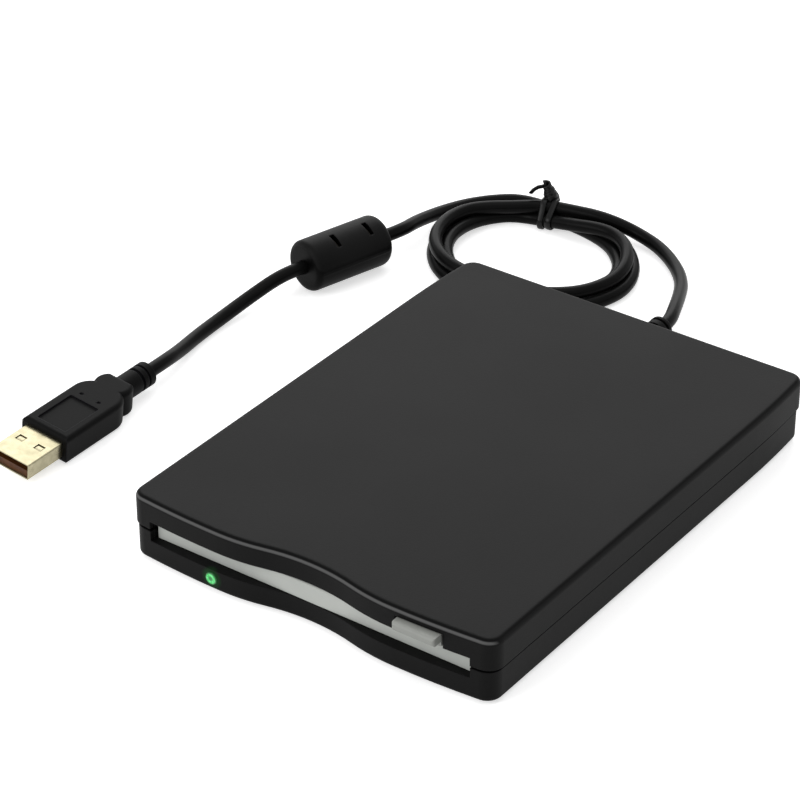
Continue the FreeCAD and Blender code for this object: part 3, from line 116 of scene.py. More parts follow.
# The rest of the route in mm: from the gland to the tie, and from the tie past the bead to the plug.
from_case = [
    (0.3, 85.2, 7.3), (0.3, 89.2, 7.3), (-2.6, 96.4, 6.8), (-6.6, 105.4, 5.0), (-11.4, 114.8, 3.1),
    (-18.4, 123.2, 2.0), (-27.6, 129.8, 2.0), (-36.2, 131.6, 3.0), (-42.2, 130.4, 4.8), (-48.0, 129.0, 5.85),
    (-55.0, 127.6, 5.85)]
to_plug = [
    (-74.6, 130.6, 1.96), (-80.6, 125.9, 1.96), (-85.4, 119.8, 1.96), (-88.0, 112.6, 2.5),
    (-88.6, 104.2, 3.9), (-87.8, 96.0, 5.8), (-86.44, 88.65, 7.35), (-88.92, 80.0, 7.35),
    (-95.86, 55.78, 7.35), (-98.06, 48.09, 7.35), (-101.2, 38.8, 4.2), (-102.7, 28.2, 2.1),
    (-102.2, 17.0, 1.96), (-100.2, 7.2, 2.8), (-97.9, -2.0, 4.75), (-97.9, -9.4, 4.75)]
wound_from = 102
wound_to = 1190
in_coil = [
    coil_point(angle, between(coil_out, angle), between(coil_height, angle))
    for angle in range(wound_from, wound_to, 360 // points_a_turn)]
cord_points = [Vector(point) * mm for point in from_case + in_coil + to_plug]

cord_line = bpy.data.curves.new("signal_cord", "CURVE")
cord_line.dimensions = "3D"
cord_line.bevel_depth = cord_width / 2 * mm
cord_line.bevel_resolution = 6
cord_line.resolution_u = 6
spline = cord_line.splines.new("NURBS")
spline.points.add(len(cord_points) - 1)
for spot, place in zip(spline.points, cord_points):
    spot.co = (*place, 1.0)
spline.order_u = 3
spline.use_endpoint_u = True
spline.use_smooth = True
cord = bpy.data.objects.new("signal_cord", cord_line)
bpy.context.scene.collection.objects.link(cord)


def linear(code):
    """A hex colour as the linear red, green, blue and alpha that the shaders take."""
    shares = [int(code[i:i + 2], 16) / 255 for i in (1, 3, 5)]
    return [c / 12.92 if c <= 0.04045 else ((c + 0.055) / 1.055) ** 2.4 for c in shares] + [1.0]


def add(finish, kind, settings):
    """Adds one node: a word is its property or its socket, and a socket given as a value is a link."""
    node = finish.node_tree.nodes.new(kind)
    for word, value in settings.items():
        if isinstance(word, str) and hasattr(node, word):
            setattr(node, word, value)
        elif isinstance(value, bpy.types.NodeSocket):
            finish.node_tree.links.new(value, node.inputs[word])
        else:
            node.inputs[word].default_value = value
    return node


def new_finish(word):
    """A new material with its principled shader, ready for its nodes."""
    finish = bpy.data.materials.new(word)
    finish.use_nodes = True
    return finish, finish.node_tree.nodes["Principled BSDF"]


def join(finish, start, end):
    """Links one socket to another."""
    finish.node_tree.links.new(start, end)


def where(finish, middle=(0, 0, 0)):
    """The place on the object in metres, counted from a middle given in mm."""
    place = add(finish, "ShaderNodeTexCoord", {}).outputs["Object"]
    if not any(middle):
        return place
    return add(finish, "ShaderNodeVectorMath", {
        "operation": "SUBTRACT", 0: place, 1: [step * mm for step in middle]}).outputs[0]


def varied(finish, pattern, first, last, low=0.3, high=0.7):
    """A colour or a number that goes from first to last as a pattern goes from low to high."""
    reach = {"Value": pattern, "From Min": low, "From Max": high}
    if isinstance(first, float):
        reach.update({"To Min": first, "To Max": last})
        return add(finish, "ShaderNodeMapRange", reach).outputs[0]
    colours = {"data_type": "RGBA", 0: add(finish, "ShaderNodeMapRange", reach).outputs[0]}
    for socket, shade in ((6, first), (7, last)):
        colours[socket] = linear(shade) if isinstance(shade, str) else shade
    return add(finish, "ShaderNodeMix", colours).outputs[2]


rubbed_at = 0.75  # the rounded and the flat normal's product where an edge is rubbed fully
clean_at = 0.97
smoother_by = 0.015  # how much the patches change the roughness, down and up
duller_by = 0.02


def moulded(word, shade, patch_shade, roughness, grain_mm, relief_mm, shine,
            edge_mm=0.0, edge_shade=None, patch_mm=14.0, index=1.5):
    """Moulded plastic or rubber: the mould's grain, broad faint patches, and rounded, rubbed edges."""
    finish, shader = new_finish(word)
    place = where(finish)
    patches = add(finish, "ShaderNodeTexNoise", {
        "Vector": place, "Scale": 1000 / patch_mm, "Detail": 3.0}).outputs[0]
    grain = add(finish, "ShaderNodeTexNoise", {
        "Vector": place, "Scale": 1000 / grain_mm, "Detail": 2.0}).outputs[0]
    colour = varied(finish, patches, shade, patch_shade)
    bump = {"Height": grain, "Distance": relief_mm * mm, "Strength": 1.0}
    if edge_mm:
        rounded = add(finish, "ShaderNodeBevel", {"samples": 4, "Radius": edge_mm * mm}).outputs[0]
        flat = add(finish, "ShaderNodeNewGeometry", {}).outputs["Normal"]
        match = add(finish, "ShaderNodeVectorMath", {
            "operation": "DOT_PRODUCT", 0: rounded, 1: flat}).outputs["Value"]
        bump["Normal"] = rounded
        colour = varied(finish, match, edge_shade or patch_shade, colour, rubbed_at, clean_at)
    join(finish, colour, shader.inputs["Base Color"])
    skin = varied(finish, patches, roughness - smoother_by, roughness + duller_by)
    join(finish, skin, shader.inputs["Roughness"])
    join(finish, add(finish, "ShaderNodeBump", bump).outputs[0], shader.inputs["Normal"])
    shader.inputs["IOR"].default_value = index
    shader.inputs["Specular IOR Level"].default_value = shine
    return finish


# Soft black vinyl, extruded: smooth, with a soft streak of light along it,
# and slightly dull places from handling.
cord_vinyl = moulded("extruded_cord_vinyl", "#0a0a0a", "#101010", 0.32, 1.2, 0.012, 0.045, patch_mm=9.0)
cord_line.materials.append(cord_vinyl)
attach(cord, "base")
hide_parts("cord_tail", "cord_coil", "cord_lead", "cord_run")


# The tie is a narrow strip of black vinyl over a soft wire, which keeps the coil together.
# It goes twice round the turns, and its two ends are twisted together on top and bent aside.
tie_wide = 1.8
tie_thick = 0.7
tie_first_lap = 98.0
tie_second_lap = 104.5
twist_foot = Vector((-62.6, 127.4, 8.0))
twist_top = Vector((-64.0, 126.6, 12.9))
twist_steps = 40
tie_lift = 0.02
tie_passes = 4  # how often the cord goes through the tie
lap_start = 70
lap_turn = 680
lap_step = 10
step_over_at = 330
step_over = 80
twist_reach = 1.9
long_end_turns = 2.6
long_end_reach = 0.5
short_end_turns = 1.8
short_end_reach = 0.9
short_end_share = 0.6
curl_steps = ((-0.9, -0.6, 0.3), (-2.0, -1.4, 0.0), (-3.0, -2.2, -0.8), (-3.7, -2.7, -1.9))
curl_across = Vector((0.3, -0.5, 0.8)).normalized()
strip_corners = 10
strip_squareness = 0.6


def on_bundle(angle, lean):
    """A point of the tie, tight round the turns, at an angle of the coil and a lean round the bundle."""
    way = Vector((math.cos(math.radians(lean)), math.sin(math.radians(lean))))
    strands = [
        Vector((between(coil_out, angle + 360 * lap), between(coil_height, angle + 360 * lap)))
        for lap in range(tie_passes)]
    held = max(strands, key=lambda strand: strand.dot(way)) + way * (cord_width + tie_thick) / 2
    return coil_point(angle, held.x, max(held.y, tie_thick / 2 + tie_lift))


def strip(word, line, wide, thick):
    """A flat strip with rounded edges, swept along points that each come with the direction of its width."""
    turns = [math.tau * step / strip_corners for step in range(strip_corners)]
    section = [(math.cos(turn), math.sin(turn)) for turn in turns]
    corners = []
    for number, (place, across) in enumerate(line):
        ahead = line[min(number + 1, len(line) - 1)][0] - line[max(number - 1, 0)][0]
        up = ahead.cross(across).normalized()
        across = up.cross(ahead).normalized()
        for side, rise in section:
            round_side = math.copysign(abs(side) ** strip_squareness, side)
            round_rise = math.copysign(abs(rise) ** strip_squareness, rise)
            corners.append((place + across * round_side * wide / 2 + up * round_rise * thick / 2) * mm)
    last_ring = len(corners) - strip_corners
    faces = [tuple(reversed(range(strip_corners))), tuple(range(last_ring, len(corners)))]
    for first in range(0, last_ring, strip_corners):
        second = first + strip_corners
        for side in range(strip_corners):
            following = (side + 1) % strip_corners
            faces.append((first + side, first + following, second + following, second + side))
    mesh = bpy.data.meshes.new(word)
    mesh.from_pydata(corners, [], faces)
    mesh.shade_smooth()
    piece = bpy.data.objects.new(word, mesh)
    bpy.context.scene.collection.objects.link(piece)
    return piece


def twisted(start_angle, turns, steps, foot, top, wide_at_foot, wide_at_top):
    """Points that wind round a line from foot to top, each with a width direction that turns with them."""
    line = []
    along = (top - foot).normalized()
    first = along.orthogonal().normalized()
    second = along.cross(first)
    for step in range(steps):
        share = step / (steps - 1)
        turn = start_angle + math.tau * turns * share
        out = first * math.cos(turn) + second * math.sin(turn)
        reach = wide_at_foot + (wide_at_top - wide_at_foot) * share
        line.append((foot + (top - foot) * share + out * reach, along))
    return line


def tie_line():
    """The tie from one twisted end, twice round the bundle, to the other."""
    belt = []
    for lean in range(lap_start, lap_start + lap_turn, lap_step):
        share = max(0.0, min(1.0, (lean - step_over_at) / step_over))
        angle = tie_first_lap + (tie_second_lap - tie_first_lap) * share
        forward = coil_point(angle + 1, 0, 0) - coil_point(angle - 1, 0, 0)
        belt.append((on_bundle(angle, lean), forward.normalized()))
    up_one = twisted(0.0, long_end_turns, twist_steps, twist_foot, twist_top, twist_reach, long_end_reach)
    up_other = twisted(math.pi, short_end_turns, twist_steps * 2 // 3, twist_foot,
                       twist_foot + (twist_top - twist_foot) * short_end_share, twist_reach, short_end_reach)
    last = up_other[-1][0]
    curl = [(last + Vector(step), curl_across) for step in curl_steps]
    return list(reversed(up_one)) + belt + up_other + curl


tie = strip("cord_tie", tie_line(), tie_wide, tie_thick)
# Vinyl pressed over wire: glossier than the cord, so that each bend of the strip takes a small bright light.
tie_vinyl = moulded("pressed_tie_vinyl", "#0b0b0b", "#121212", 0.3, 1.0, 0.03, 0.16, patch_mm=3.0)
tie.data.materials.append(tie_vinyl)
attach(tie, "base")
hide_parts("twist_tie")


# The gland is soft vinyl, moulded over the cord and held in a slot of the case's back.
# Its sleeve is grooved, so that the cord bends gently where it leaves the case.
def dress(words, finish):
    """Gives the named pieces of the frame a finish."""
    for word in words.split():
        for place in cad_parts[word].material_slots:
            place.material = finish


relief_vinyl = moulded("moulded_relief_vinyl", "#101010", "#161616", 0.5, 0.7, 0.02, 0.05, 0.35, "#1d1d1d")
dress("cable_gland", relief_vinyl)


# The bead is a plain ferrite ring, moulded into vinyl on the cord to keep it electrically quiet.
# Two short slots in the vinyl show where pins held the ring in the mould.
# The vinyl has a fine silky texture and rubbed rims; the ferrite is a dark ceramic, pressed and fired.
bead_near = Vector((-95.97, 55.40, 7.35))
bead_turn = math.radians(-16)
bead_radius = 7.3
bead_length = 26.2
bead_bore = 1.95
near_round = 1.7
far_round = 2.4
parting_out = 0.15
slot_starts = (8.1, 19.1)
slot_lean = math.radians(24)
slot_wide = 4.4
slot_long = 1.5
slot_floor = 5.0
slot_top = 9.0
end_radius = 4.0
rim_steps = 7
parting_reach = 1.5
parting_turns = {1.2, 2.4, 177.6, 178.8, 181.2, 182.4, 357.6, 358.8}
sharp_from = math.radians(35)
dark_below = 0.12
plain_above = 0.24
bead_matrix = Matrix.Translation(bead_near * mm) @ Matrix.Rotation(bead_turn, 4, "Z")


def bead_skin():
    """The bead turned round its length, with round rims and a thin raised parting line on each side."""
    arc = [math.pi / 2 * step / rim_steps for step in range(rim_steps + 1)]
    near = [(bead_radius - near_round * (1 - math.sin(a)), near_round * (1 - math.cos(a))) for a in arc]
    far = [(bead_radius - far_round * (1 - math.sin(a)), bead_length - far_round * (1 - math.cos(a)))
           for a in reversed(arc)]
    near_end = [(bead_bore, 0.0), (end_radius, 0.0)]
    far_end = [(end_radius, bead_length), (bead_bore, bead_length)]
    profile = near_end + near + far + far_end
    turns = sorted(set(range(0, 360, 5)) | parting_turns)
    corners = []
    for radius, along in profile:
        for turn in turns:
            on_line = min(turn % 180, 180 - turn % 180) < parting_reach and radius == bead_radius
            reach = radius + (parting_out if on_line else 0.0)
            way = math.radians(turn)
            corners.append((reach * math.cos(way), along, reach * math.sin(way)))
    around = len(turns)
    faces = []
    for row in range(len(profile)):
        following = (row + 1) % len(profile)
        for step in range(around):
            beside = (step + 1) % around
            faces.append((row * around + step, row * around + beside,
                          following * around + beside, following * around + step))
    mesh = bpy.data.meshes.new("moulded_bead")
    mesh.from_pydata([Vector(corner) * mm for corner in corners], [], faces)
    return mesh


def slot_cutter(start):
    """The room of one pin slot, from its floor to past the bead's skin."""
    half = slot_wide / 2
    corners = [(x, y, z) for x in (-half, half) for y in (0.0, slot_long) for z in (slot_floor, slot_top)]
    mesh = bpy.data.meshes.new("pin_slot")
    mesh.from_pydata([Vector(corner) * mm for corner in corners], [], [
        (0, 1, 3, 2), (4, 6, 7, 5), (0, 4, 5, 1), (2, 3, 7, 6), (0, 2, 6, 4), (1, 5, 7, 3)])
    cutter = bpy.data.objects.new("pin_slot", mesh)
    bpy.context.scene.collection.objects.link(cutter)
    along = Matrix.Translation((0, start * mm, 0))
    cutter.matrix_world = bead_matrix @ along @ Matrix.Rotation(slot_lean, 4, "Y")
    return cutter


bead = bpy.data.objects.new("moulded_bead", bead_skin())
bpy.context.scene.collection.objects.link(bead)
bead.matrix_world = bead_matrix
cutters = [slot_cutter(start) for start in slot_starts]
for cutter in cutters:
    carve = bead.modifiers.new("slot", "BOOLEAN")
    carve.operation = "DIFFERENCE"
    carve.solver = "EXACT"
    carve.object = cutter
bpy.context.view_layer.update()
carved = bpy.data.meshes.new_from_object(bead.evaluated_get(bpy.context.evaluated_depsgraph_get()))
bead.modifiers.clear()
bead.data = carved
for cutter in cutters:
    bpy.data.objects.remove(cutter)
for face in carved.polygons:
    face.use_smooth = True
carved.set_sharp_from_angle(angle=sharp_from)
bead_vinyl = moulded("moulded_bead_vinyl", "#131313", "#181818", 0.46, 0.6, 0.02, 0.05, 0.6, "#242424")
shader = bead_vinyl.node_tree.nodes["Principled BSDF"]
plain = shader.inputs["Base Color"].links[0].from_socket
# Painted shade: the lower half, which turns away from the light, is painted almost black.
facing = add(bead_vinyl, "ShaderNodeSeparateXYZ", {
    0: add(bead_vinyl, "ShaderNodeNewGeometry", {}).outputs["Normal"]}).outputs
bead_painted_shade = varied(bead_vinyl, facing[2], "#020202", plain, dark_below, plain_above)
join(bead_vinyl, bead_painted_shade, shader.inputs["Base Color"])
carved.materials.clear()
carved.materials.append(bead_vinyl)
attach(bead, "base")
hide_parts("bead_moulding")
ferrite = moulded("fired_ferrite", "#26241f", "#302d28", 0.6, 0.4, 0.03, 0.3, 0.3, "#3a3631", patch_mm=5.0)
dress("ferrite_core rotor_magnet", ferrite)


# The plug's grip is vinyl, moulded round the shell's root and the cord in one shot, with a ribbed neck.
# Its faces are textured in the mould, and its rims are a little paler where fingers hold it.
plug_vinyl = moulded("moulded_plug_vinyl", "#0a0a0a", "#0f0f0f", 0.5, 0.6, 0.02, 0.05, 0.4, "#232227")
dress("plug_moulding", plug_vinyl)


# The plug's shell is nickel-plated steel strip, folded round the tongue and closed by a seam underneath.
# Two windows are cut in its top for the socket's springs, and a leaf of the strip shows just under each.
# Bright plating over smooth strip: warm white, a soft mirror, with faint cloudy places.
plug_place = Vector((-97.9, -49.35, 4.75))
plug_roll = math.radians(6.5)
leaf_wide = 2.1
leaf_long = 1.9
leaf_high = 1.98
leaf_aside = 3.0
leaf_along = -5.3
leaf_crown = 0.14
leaf_thick = 0.25
leaf_steps = 8


def metal(word, shade, dull_shade, roughness, line_mm, stretch, relief_mm=0.008, patch_mm=6.0):
    """Metal with fine lines from rolling, drawing or grinding, which run where stretch is small."""
    finish, shader = new_finish(word)
    place = where(finish)
    lines = add(finish, "ShaderNodeMapping", {"Vector": place, "Scale": stretch}).outputs[0]
    brush = add(finish, "ShaderNodeTexNoise", {
        "Vector": lines, "Scale": 1000 / line_mm, "Detail": 3.0}).outputs[0]
    patches = add(finish, "ShaderNodeTexNoise", {
        "Vector": place, "Scale": 1000 / patch_mm, "Detail": 2.0}).outputs[0]
    join(finish, varied(finish, patches, shade, dull_shade), shader.inputs["Base Color"])
    join(finish, varied(finish, brush, roughness - 0.05, roughness + 0.07), shader.inputs["Roughness"])
    relief = add(finish, "ShaderNodeBump", {"Height": brush, "Distance": relief_mm * mm, "Strength": 0.6})
    join(finish, relief.outputs[0], shader.inputs["Normal"])
    shader.inputs["Metallic"].default_value = 1.0
    return finish


shell_steel = metal("plated_shell_steel", "#a8a186", "#969076", 0.3, 3.0, (1, 1, 1), 0.02, 2.0)
dress("plug_shell", shell_steel)
for word, aside in (("shell_leaf_left", -leaf_aside), ("shell_leaf_right", leaf_aside)):
    corners = []
    for row in range(leaf_steps + 1):
        for column in range(leaf_steps + 1):
            across = (column / leaf_steps - 0.5) * leaf_wide
            along = (row / leaf_steps - 0.5) * leaf_long
            crown = leaf_crown * (1 - (2 * along / leaf_long) ** 2)
            corners.append((aside + across, leaf_along + along, leaf_high + crown))
    row_long = leaf_steps + 1
    faces = [
        (row * row_long + column, row * row_long + column + 1,
         (row + 1) * row_long + column + 1, (row + 1) * row_long + column)
        for row in range(leaf_steps) for column in range(leaf_steps)]
    mesh = bpy.data.meshes.new(word)
    mesh.from_pydata([Vector(corner) * mm for corner in corners], [], faces)
    mesh.shade_smooth()
    leaf = bpy.data.objects.new(word, mesh)
    bpy.context.scene.collection.objects.link(leaf)
    thick = leaf.modifiers.new("strip_thickness", "SOLIDIFY")
    thick.thickness = leaf_thick * mm
    thick.offset = -1.0
    leaf.matrix_world = Matrix.Translation(plug_place * mm) @ Matrix.Rotation(plug_roll, 4, "Y")
    mesh.materials.append(shell_steel)
    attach(leaf, "base")


# The tongue carries the plug's four contacts inside the shell. It is dark brown nylon, filled with glass.
# Moulded with a dull skin in which the glass shows as a fine fleck.
tongue_nylon = moulded("glass_filled_brown_nylon", "#381a06", "#5a3410", 0.5, 0.5, 0.02, 0.3, patch_mm=2.0)
dress("plug_tongue", tongue_nylon)
# The contacts are stamped from brass strip and plated with gold, with faint lines along them from the strip.
contact_gold = metal("gold_plated_contacts", "#e9c46a", "#d8b058", 0.2, 0.4, (1, 0.05, 1))
dress("plug_contacts", contact_gold)


# The two halves of the case are moulded ABS. They close with a lip and two screws from below.
# The mould is spark-eroded: a fine matt grain that mirrors little, a bit paler along rubbed edges.
# A faint green glow is painted into the grain around the status window, standing in for the light it spills
# there.
lamp_place = (-27.1, -70.95, 4.0)
glow_from = 1.5
glow_reach = 3.1
glow_strength = 0.12
rim_foot = 13.5
rim_above = 14.5
seam_high = 9.42
seam_shade_core = 0.38
seam_fade = 0.5
chamfer_fade = 0.44
chamfer_tilt = 1.2
case_abs = moulded("textured_black_abs", "#101010", "#131313", 0.5, 0.55, 0.02, 0.055, 0.35, "#181818",
                   patch_mm=30.0, index=1.53)
shader = case_abs.node_tree.nodes["Principled BSDF"]
plain = shader.inputs["Base Color"].links[0].from_socket
facing = add(case_abs, "ShaderNodeSeparateXYZ", {
    0: add(case_abs, "ShaderNodeNewGeometry", {}).outputs["Normal"]}).outputs
spot = add(case_abs, "ShaderNodeSeparateXYZ", {0: where(case_abs)}).outputs
on_top = (spot[2], 0.0, 1.0, rim_foot * mm, rim_above * mm)


def overlap(ramps):
    """A share of one where all the ramps are one. Each holds what it reads, its two values, and where."""
    share = varied(case_abs, *ramps[0])
    for ramp in ramps[1:]:
        share = add(case_abs, "ShaderNodeMath", {
            "operation": "MULTIPLY", 0: share, 1: varied(case_abs, *ramp)}).outputs[0]
    return share


# Painted highlight: along the middle of the top's front rounding, a paler grey is painted where a lamp's
# light lies.
painted_highlight = overlap([
    (facing[2], 0.0, 1.0, 0.2, 0.4), (facing[2], 1.0, 0.0, 0.62, 0.74),
    (facing[1], 1.0, 0.0, -0.6, -0.3), on_top])
# Painted shade: all round the top, the rounding's upper part is painted near black, darker than the flat face
# beside it.
painted_rim_shade = overlap([(facing[2], 0.0, 1.0, 0.70, 0.82), (facing[2], 1.0, 0.0, 0.94, 0.985), on_top])
rim_shaded = varied(case_abs, painted_rim_shade, plain, "#020202", 0.0, 1.0)
highlighted = varied(case_abs, painted_highlight, rim_shaded, "#5a5a5a", 0.0, 1.0)
# The halves meet in a groove 0.5 mm high under the upper half's lip. A near-black line of painted shade marks
# it, drawn 0.8 to 1 mm wide, and its surface leans up as a chamfer's would, so that it shows.
off_seam = add(case_abs, "ShaderNodeMath", {
    "operation": "ABSOLUTE", 0: add(case_abs, "ShaderNodeMath", {
        "operation": "SUBTRACT", 0: spot[2], 1: seam_high * mm}).outputs[0]}).outputs[0]
seam_shaded = varied(case_abs, off_seam, "#010101", highlighted, seam_shade_core * mm, seam_fade * mm)
join(case_abs, seam_shaded, shader.inputs["Base Color"])
grained = shader.inputs["Normal"].links[0].from_socket
tilt = add(case_abs, "ShaderNodeCombineXYZ", {
    2: varied(case_abs, off_seam, chamfer_tilt, 0.0, seam_shade_core * mm, chamfer_fade * mm)}).outputs[0]
tilted = add(case_abs, "ShaderNodeVectorMath", {"operation": "ADD", 0: grained, 1: tilt}).outputs[0]
join(case_abs, add(case_abs, "ShaderNodeVectorMath", {
    "operation": "NORMALIZE", 0: tilted}).outputs[0], shader.inputs["Normal"])
away = add(case_abs, "ShaderNodeVectorMath", {
    "operation": "LENGTH", 0: where(case_abs, lamp_place)}).outputs["Value"]
painted_window_glow = varied(case_abs, away, glow_strength, 0.0, glow_from * mm, glow_reach * mm)
join(case_abs, painted_window_glow, shader.inputs["Emission Strength"])
shader.inputs["Emission Color"].default_value = linear("#1f9a3a")
dress("upper_shell lower_shell", case_abs)


# Four feet are die-cut from rubber sheet and glued into shallow seats in the lower half.
# Their skin is dull, with a fine soft grain.
foot_rubber = moulded("die_cut_foot_rubber", "#171717", "#202020", 0.85, 0.7, 0.03, 0.2, 0.3, "#262626", 5.0)
dress("foot_left_front foot_left_back foot_right_front foot_right_back", foot_rubber)


# Six screws come up from below: two close the case and four hold the tray.
# Their threads are rolled, and black zinc over the steel gives the pan heads a soft sheen.
screw_steel = metal("black_zinc_screw_steel", "#3c3d40", "#2c2d30", 0.34, 0.5, (1, 1, 0.3))
dress("case_screw_left case_screw_right tray_screw_left_front tray_screw_left_back "
      "tray_screw_right_front tray_screw_right_back", screw_steel)


# The tray, cover, holder, slide and lever are pressed from zinc-plated steel sheet, and slide on each other.
# Faint lines of the rolling run from front to back, with cloudy patches of the bluish plating.
sheet_steel = metal("zinc_plated_sheet", "#c9cdd0", "#b3b8bd", 0.34, 0.6, (1, 0.04, 1), 0.01, 8.0)
dress("chassis_tray slide_plate shutter_lever upper_head_arm", sheet_steel)
# The cover's and the holder's strips lay across the mill, so their lines run from side to side.
cross_sheet = metal("zinc_plated_cross_sheet", "#d0d3d5", "#bdc1c5", 0.3, 0.6, (0.04, 1, 1), 0.01, 10.0)
dress("top_cover disk_holder", cross_sheet)


# Two boards of glass cloth and epoxy carry the circuits under a green solder mask.
# The mask is glossy, and stands up a little where copper tracks run under it; small pads are tinned.
track_mm = 3.0
pad_mm = 2.54
board_laminate, shader = new_finish("masked_glass_epoxy")
place = where(board_laminate)
tracks = add(board_laminate, "ShaderNodeTexVoronoi", {
    "feature": "DISTANCE_TO_EDGE", "distance": "EUCLIDEAN", "Vector": place,
    "Scale": 1000 / track_mm}).outputs[0]
pads = add(board_laminate, "ShaderNodeTexVoronoi", {
    "feature": "F1", "Vector": place, "Scale": 1000 / pad_mm, "Randomness": 0.15}).outputs[0]
masked = varied(board_laminate, tracks, "#1f6e3c", "#0f4526", 0.06, 0.12)
tinned = varied(board_laminate, pads, "#c9cbc6", masked, 0.14, 0.18)
join(board_laminate, tinned, shader.inputs["Base Color"])
join(board_laminate, varied(board_laminate, tracks, 0.24, 0.34, 0.06, 0.12), shader.inputs["Roughness"])
relief = add(board_laminate, "ShaderNodeBump", {
    "Height": varied(board_laminate, tracks, 1.0, 0.0, 0.06, 0.12), "Distance": 0.035 * mm, "Strength": 0.7})
join(board_laminate, relief.outputs[0], shader.inputs["Normal"])
dress("control_board usb_board", board_laminate)


# Each chip is a black epoxy block, moulded over its lead frame. The tinned legs stand out round its foot.
# The epoxy is dull and even; the legs are bright dipped tin.
fleck_mm = 0.3
for word, block_half, middle in (
        ("controller_chip", 6.05, (-36.0, 41.5, 0.0)), ("bridge_chip", 1.95, (-19.0, 65.9, 0.0))):
    chip_epoxy, shader = new_finish(word + "_epoxy_and_tin")
    place = where(chip_epoxy, middle)
    reach = add(chip_epoxy, "ShaderNodeSeparateXYZ", {
        0: add(chip_epoxy, "ShaderNodeVectorMath", {"operation": "ABSOLUTE", 0: place}).outputs[0]})
    out = reach.outputs[0] if word == "bridge_chip" else add(chip_epoxy, "ShaderNodeMath", {
        "operation": "MAXIMUM", 0: reach.outputs[0], 1: reach.outputs[1]}).outputs[0]
    leg = varied(chip_epoxy, out, 0.0, 1.0, block_half * mm, (block_half + 0.05) * mm)
    fleck = add(chip_epoxy, "ShaderNodeTexNoise", {
        "Vector": place, "Scale": 1000 / fleck_mm, "Detail": 2.0}).outputs[0]
    epoxy = varied(chip_epoxy, fleck, "#202022", "#2a2a2c")
    join(chip_epoxy, varied(chip_epoxy, leg, epoxy, "#c8cac8", 0.0, 1.0), shader.inputs["Base Color"])
    join(chip_epoxy, leg, shader.inputs["Metallic"])
    join(chip_epoxy, varied(chip_epoxy, leg, 0.55, 0.25, 0.0, 1.0), shader.inputs["Roughness"])
    relief = add(chip_epoxy, "ShaderNodeBump", {"Height": fleck, "Distance": 0.01 * mm, "Strength": 0.6})
    join(chip_epoxy, relief.outputs[0], shader.inputs["Normal"])
    dress(word, chip_epoxy)


# The cord's cores end in a header of white nylon, soldered to the small board.
# It is moulded, and looks waxy and a bit creamy.
header_nylon = moulded("moulded_header_nylon", "#e4e0d2", "#d9d4c3", 0.4, 0.6, 0.01, 0.4, 0.2, "#f0ede2", 4.0)
dress("cord_header", header_nylon)


# The spindle turns in a bearing of oil-filled bronze, pressed into the tray.
# It is turned, and looks brownish and faintly oily. A lathe leaves rings of about 0.1 mm: here and on the
# motors' other turned pieces they are drawn two to four millimetres apart, so that they show.
spindle_middle = (0.0, -16.0, 0.0)
turned_patch_mm = 5.0


def wave_scale(step_mm):
    """The scale of a wave pattern whose lines lie tau steps apart, as a wave repeats every tau / 20."""
    return 1000 / 20 / step_mm


def turned(word, shade, dull_shade, roughness, step_mm, middle, axis):
    """Metal turned on a lathe: rings round its axis, which spread a highlight across them."""
    finish, shader = new_finish(word)
    place = where(finish, middle)
    rings = add(finish, "ShaderNodeTexWave", {
        "wave_type": "RINGS", "rings_direction": axis, "Vector": place,
        "Scale": wave_scale(step_mm), "Distortion": 0.4, "Detail": 1.0}).outputs[1]
    patches = add(finish, "ShaderNodeTexNoise", {
        "Vector": place, "Scale": 1000 / turned_patch_mm, "Detail": 2.0}).outputs[0]
    join(finish, varied(finish, patches, shade, dull_shade), shader.inputs["Base Color"])
    ringed = varied(finish, rings, roughness - 0.04, roughness + 0.06, 0.0, 1.0)
    join(finish, ringed, shader.inputs["Roughness"])
    relief = add(finish, "ShaderNodeBump", {"Height": rings, "Distance": 0.01 * mm, "Strength": 0.5})
    join(finish, relief.outputs[0], shader.inputs["Normal"])
    shader.inputs["Metallic"].default_value = 1.0
    return finish


bearing_bronze = turned("turned_bearing_bronze", "#c29a58", "#a88148", 0.3, 0.35, spindle_middle, "Z")
dress("spindle_bearing", bearing_bronze)


# The motor's stator is a low stack of punched silicon-steel sheets, bluish and a little uneven.
# Its bands lie 2.5 mm apart, which is more than its height, so they give one soft change of sheen.
cloud_mm = 4.0
core_steel, shader = new_finish("stacked_silicon_steel")
place = where(core_steel)
stack = add(core_steel, "ShaderNodeTexWave", {
    "wave_type": "BANDS", "bands_direction": "Z", "Vector": place,
    "Scale": wave_scale(0.4), "Distortion": 0.3}).outputs[1]
cloud = add(core_steel, "ShaderNodeTexNoise", {
    "Vector": place, "Scale": 1000 / cloud_mm, "Detail": 2.0}).outputs[0]
join(core_steel, varied(core_steel, cloud, "#7f858d", "#969ba1"), shader.inputs["Base Color"])
join(core_steel, varied(core_steel, stack, 0.35, 0.5, 0.0, 1.0), shader.inputs["Roughness"])
relief = add(core_steel, "ShaderNodeBump", {"Height": stack, "Distance": 0.03 * mm, "Strength": 0.7})
join(core_steel, relief.outputs[0], shader.inputs["Normal"])
shader.inputs["Metallic"].default_value = 1.0
dress("stator_core", core_steel)


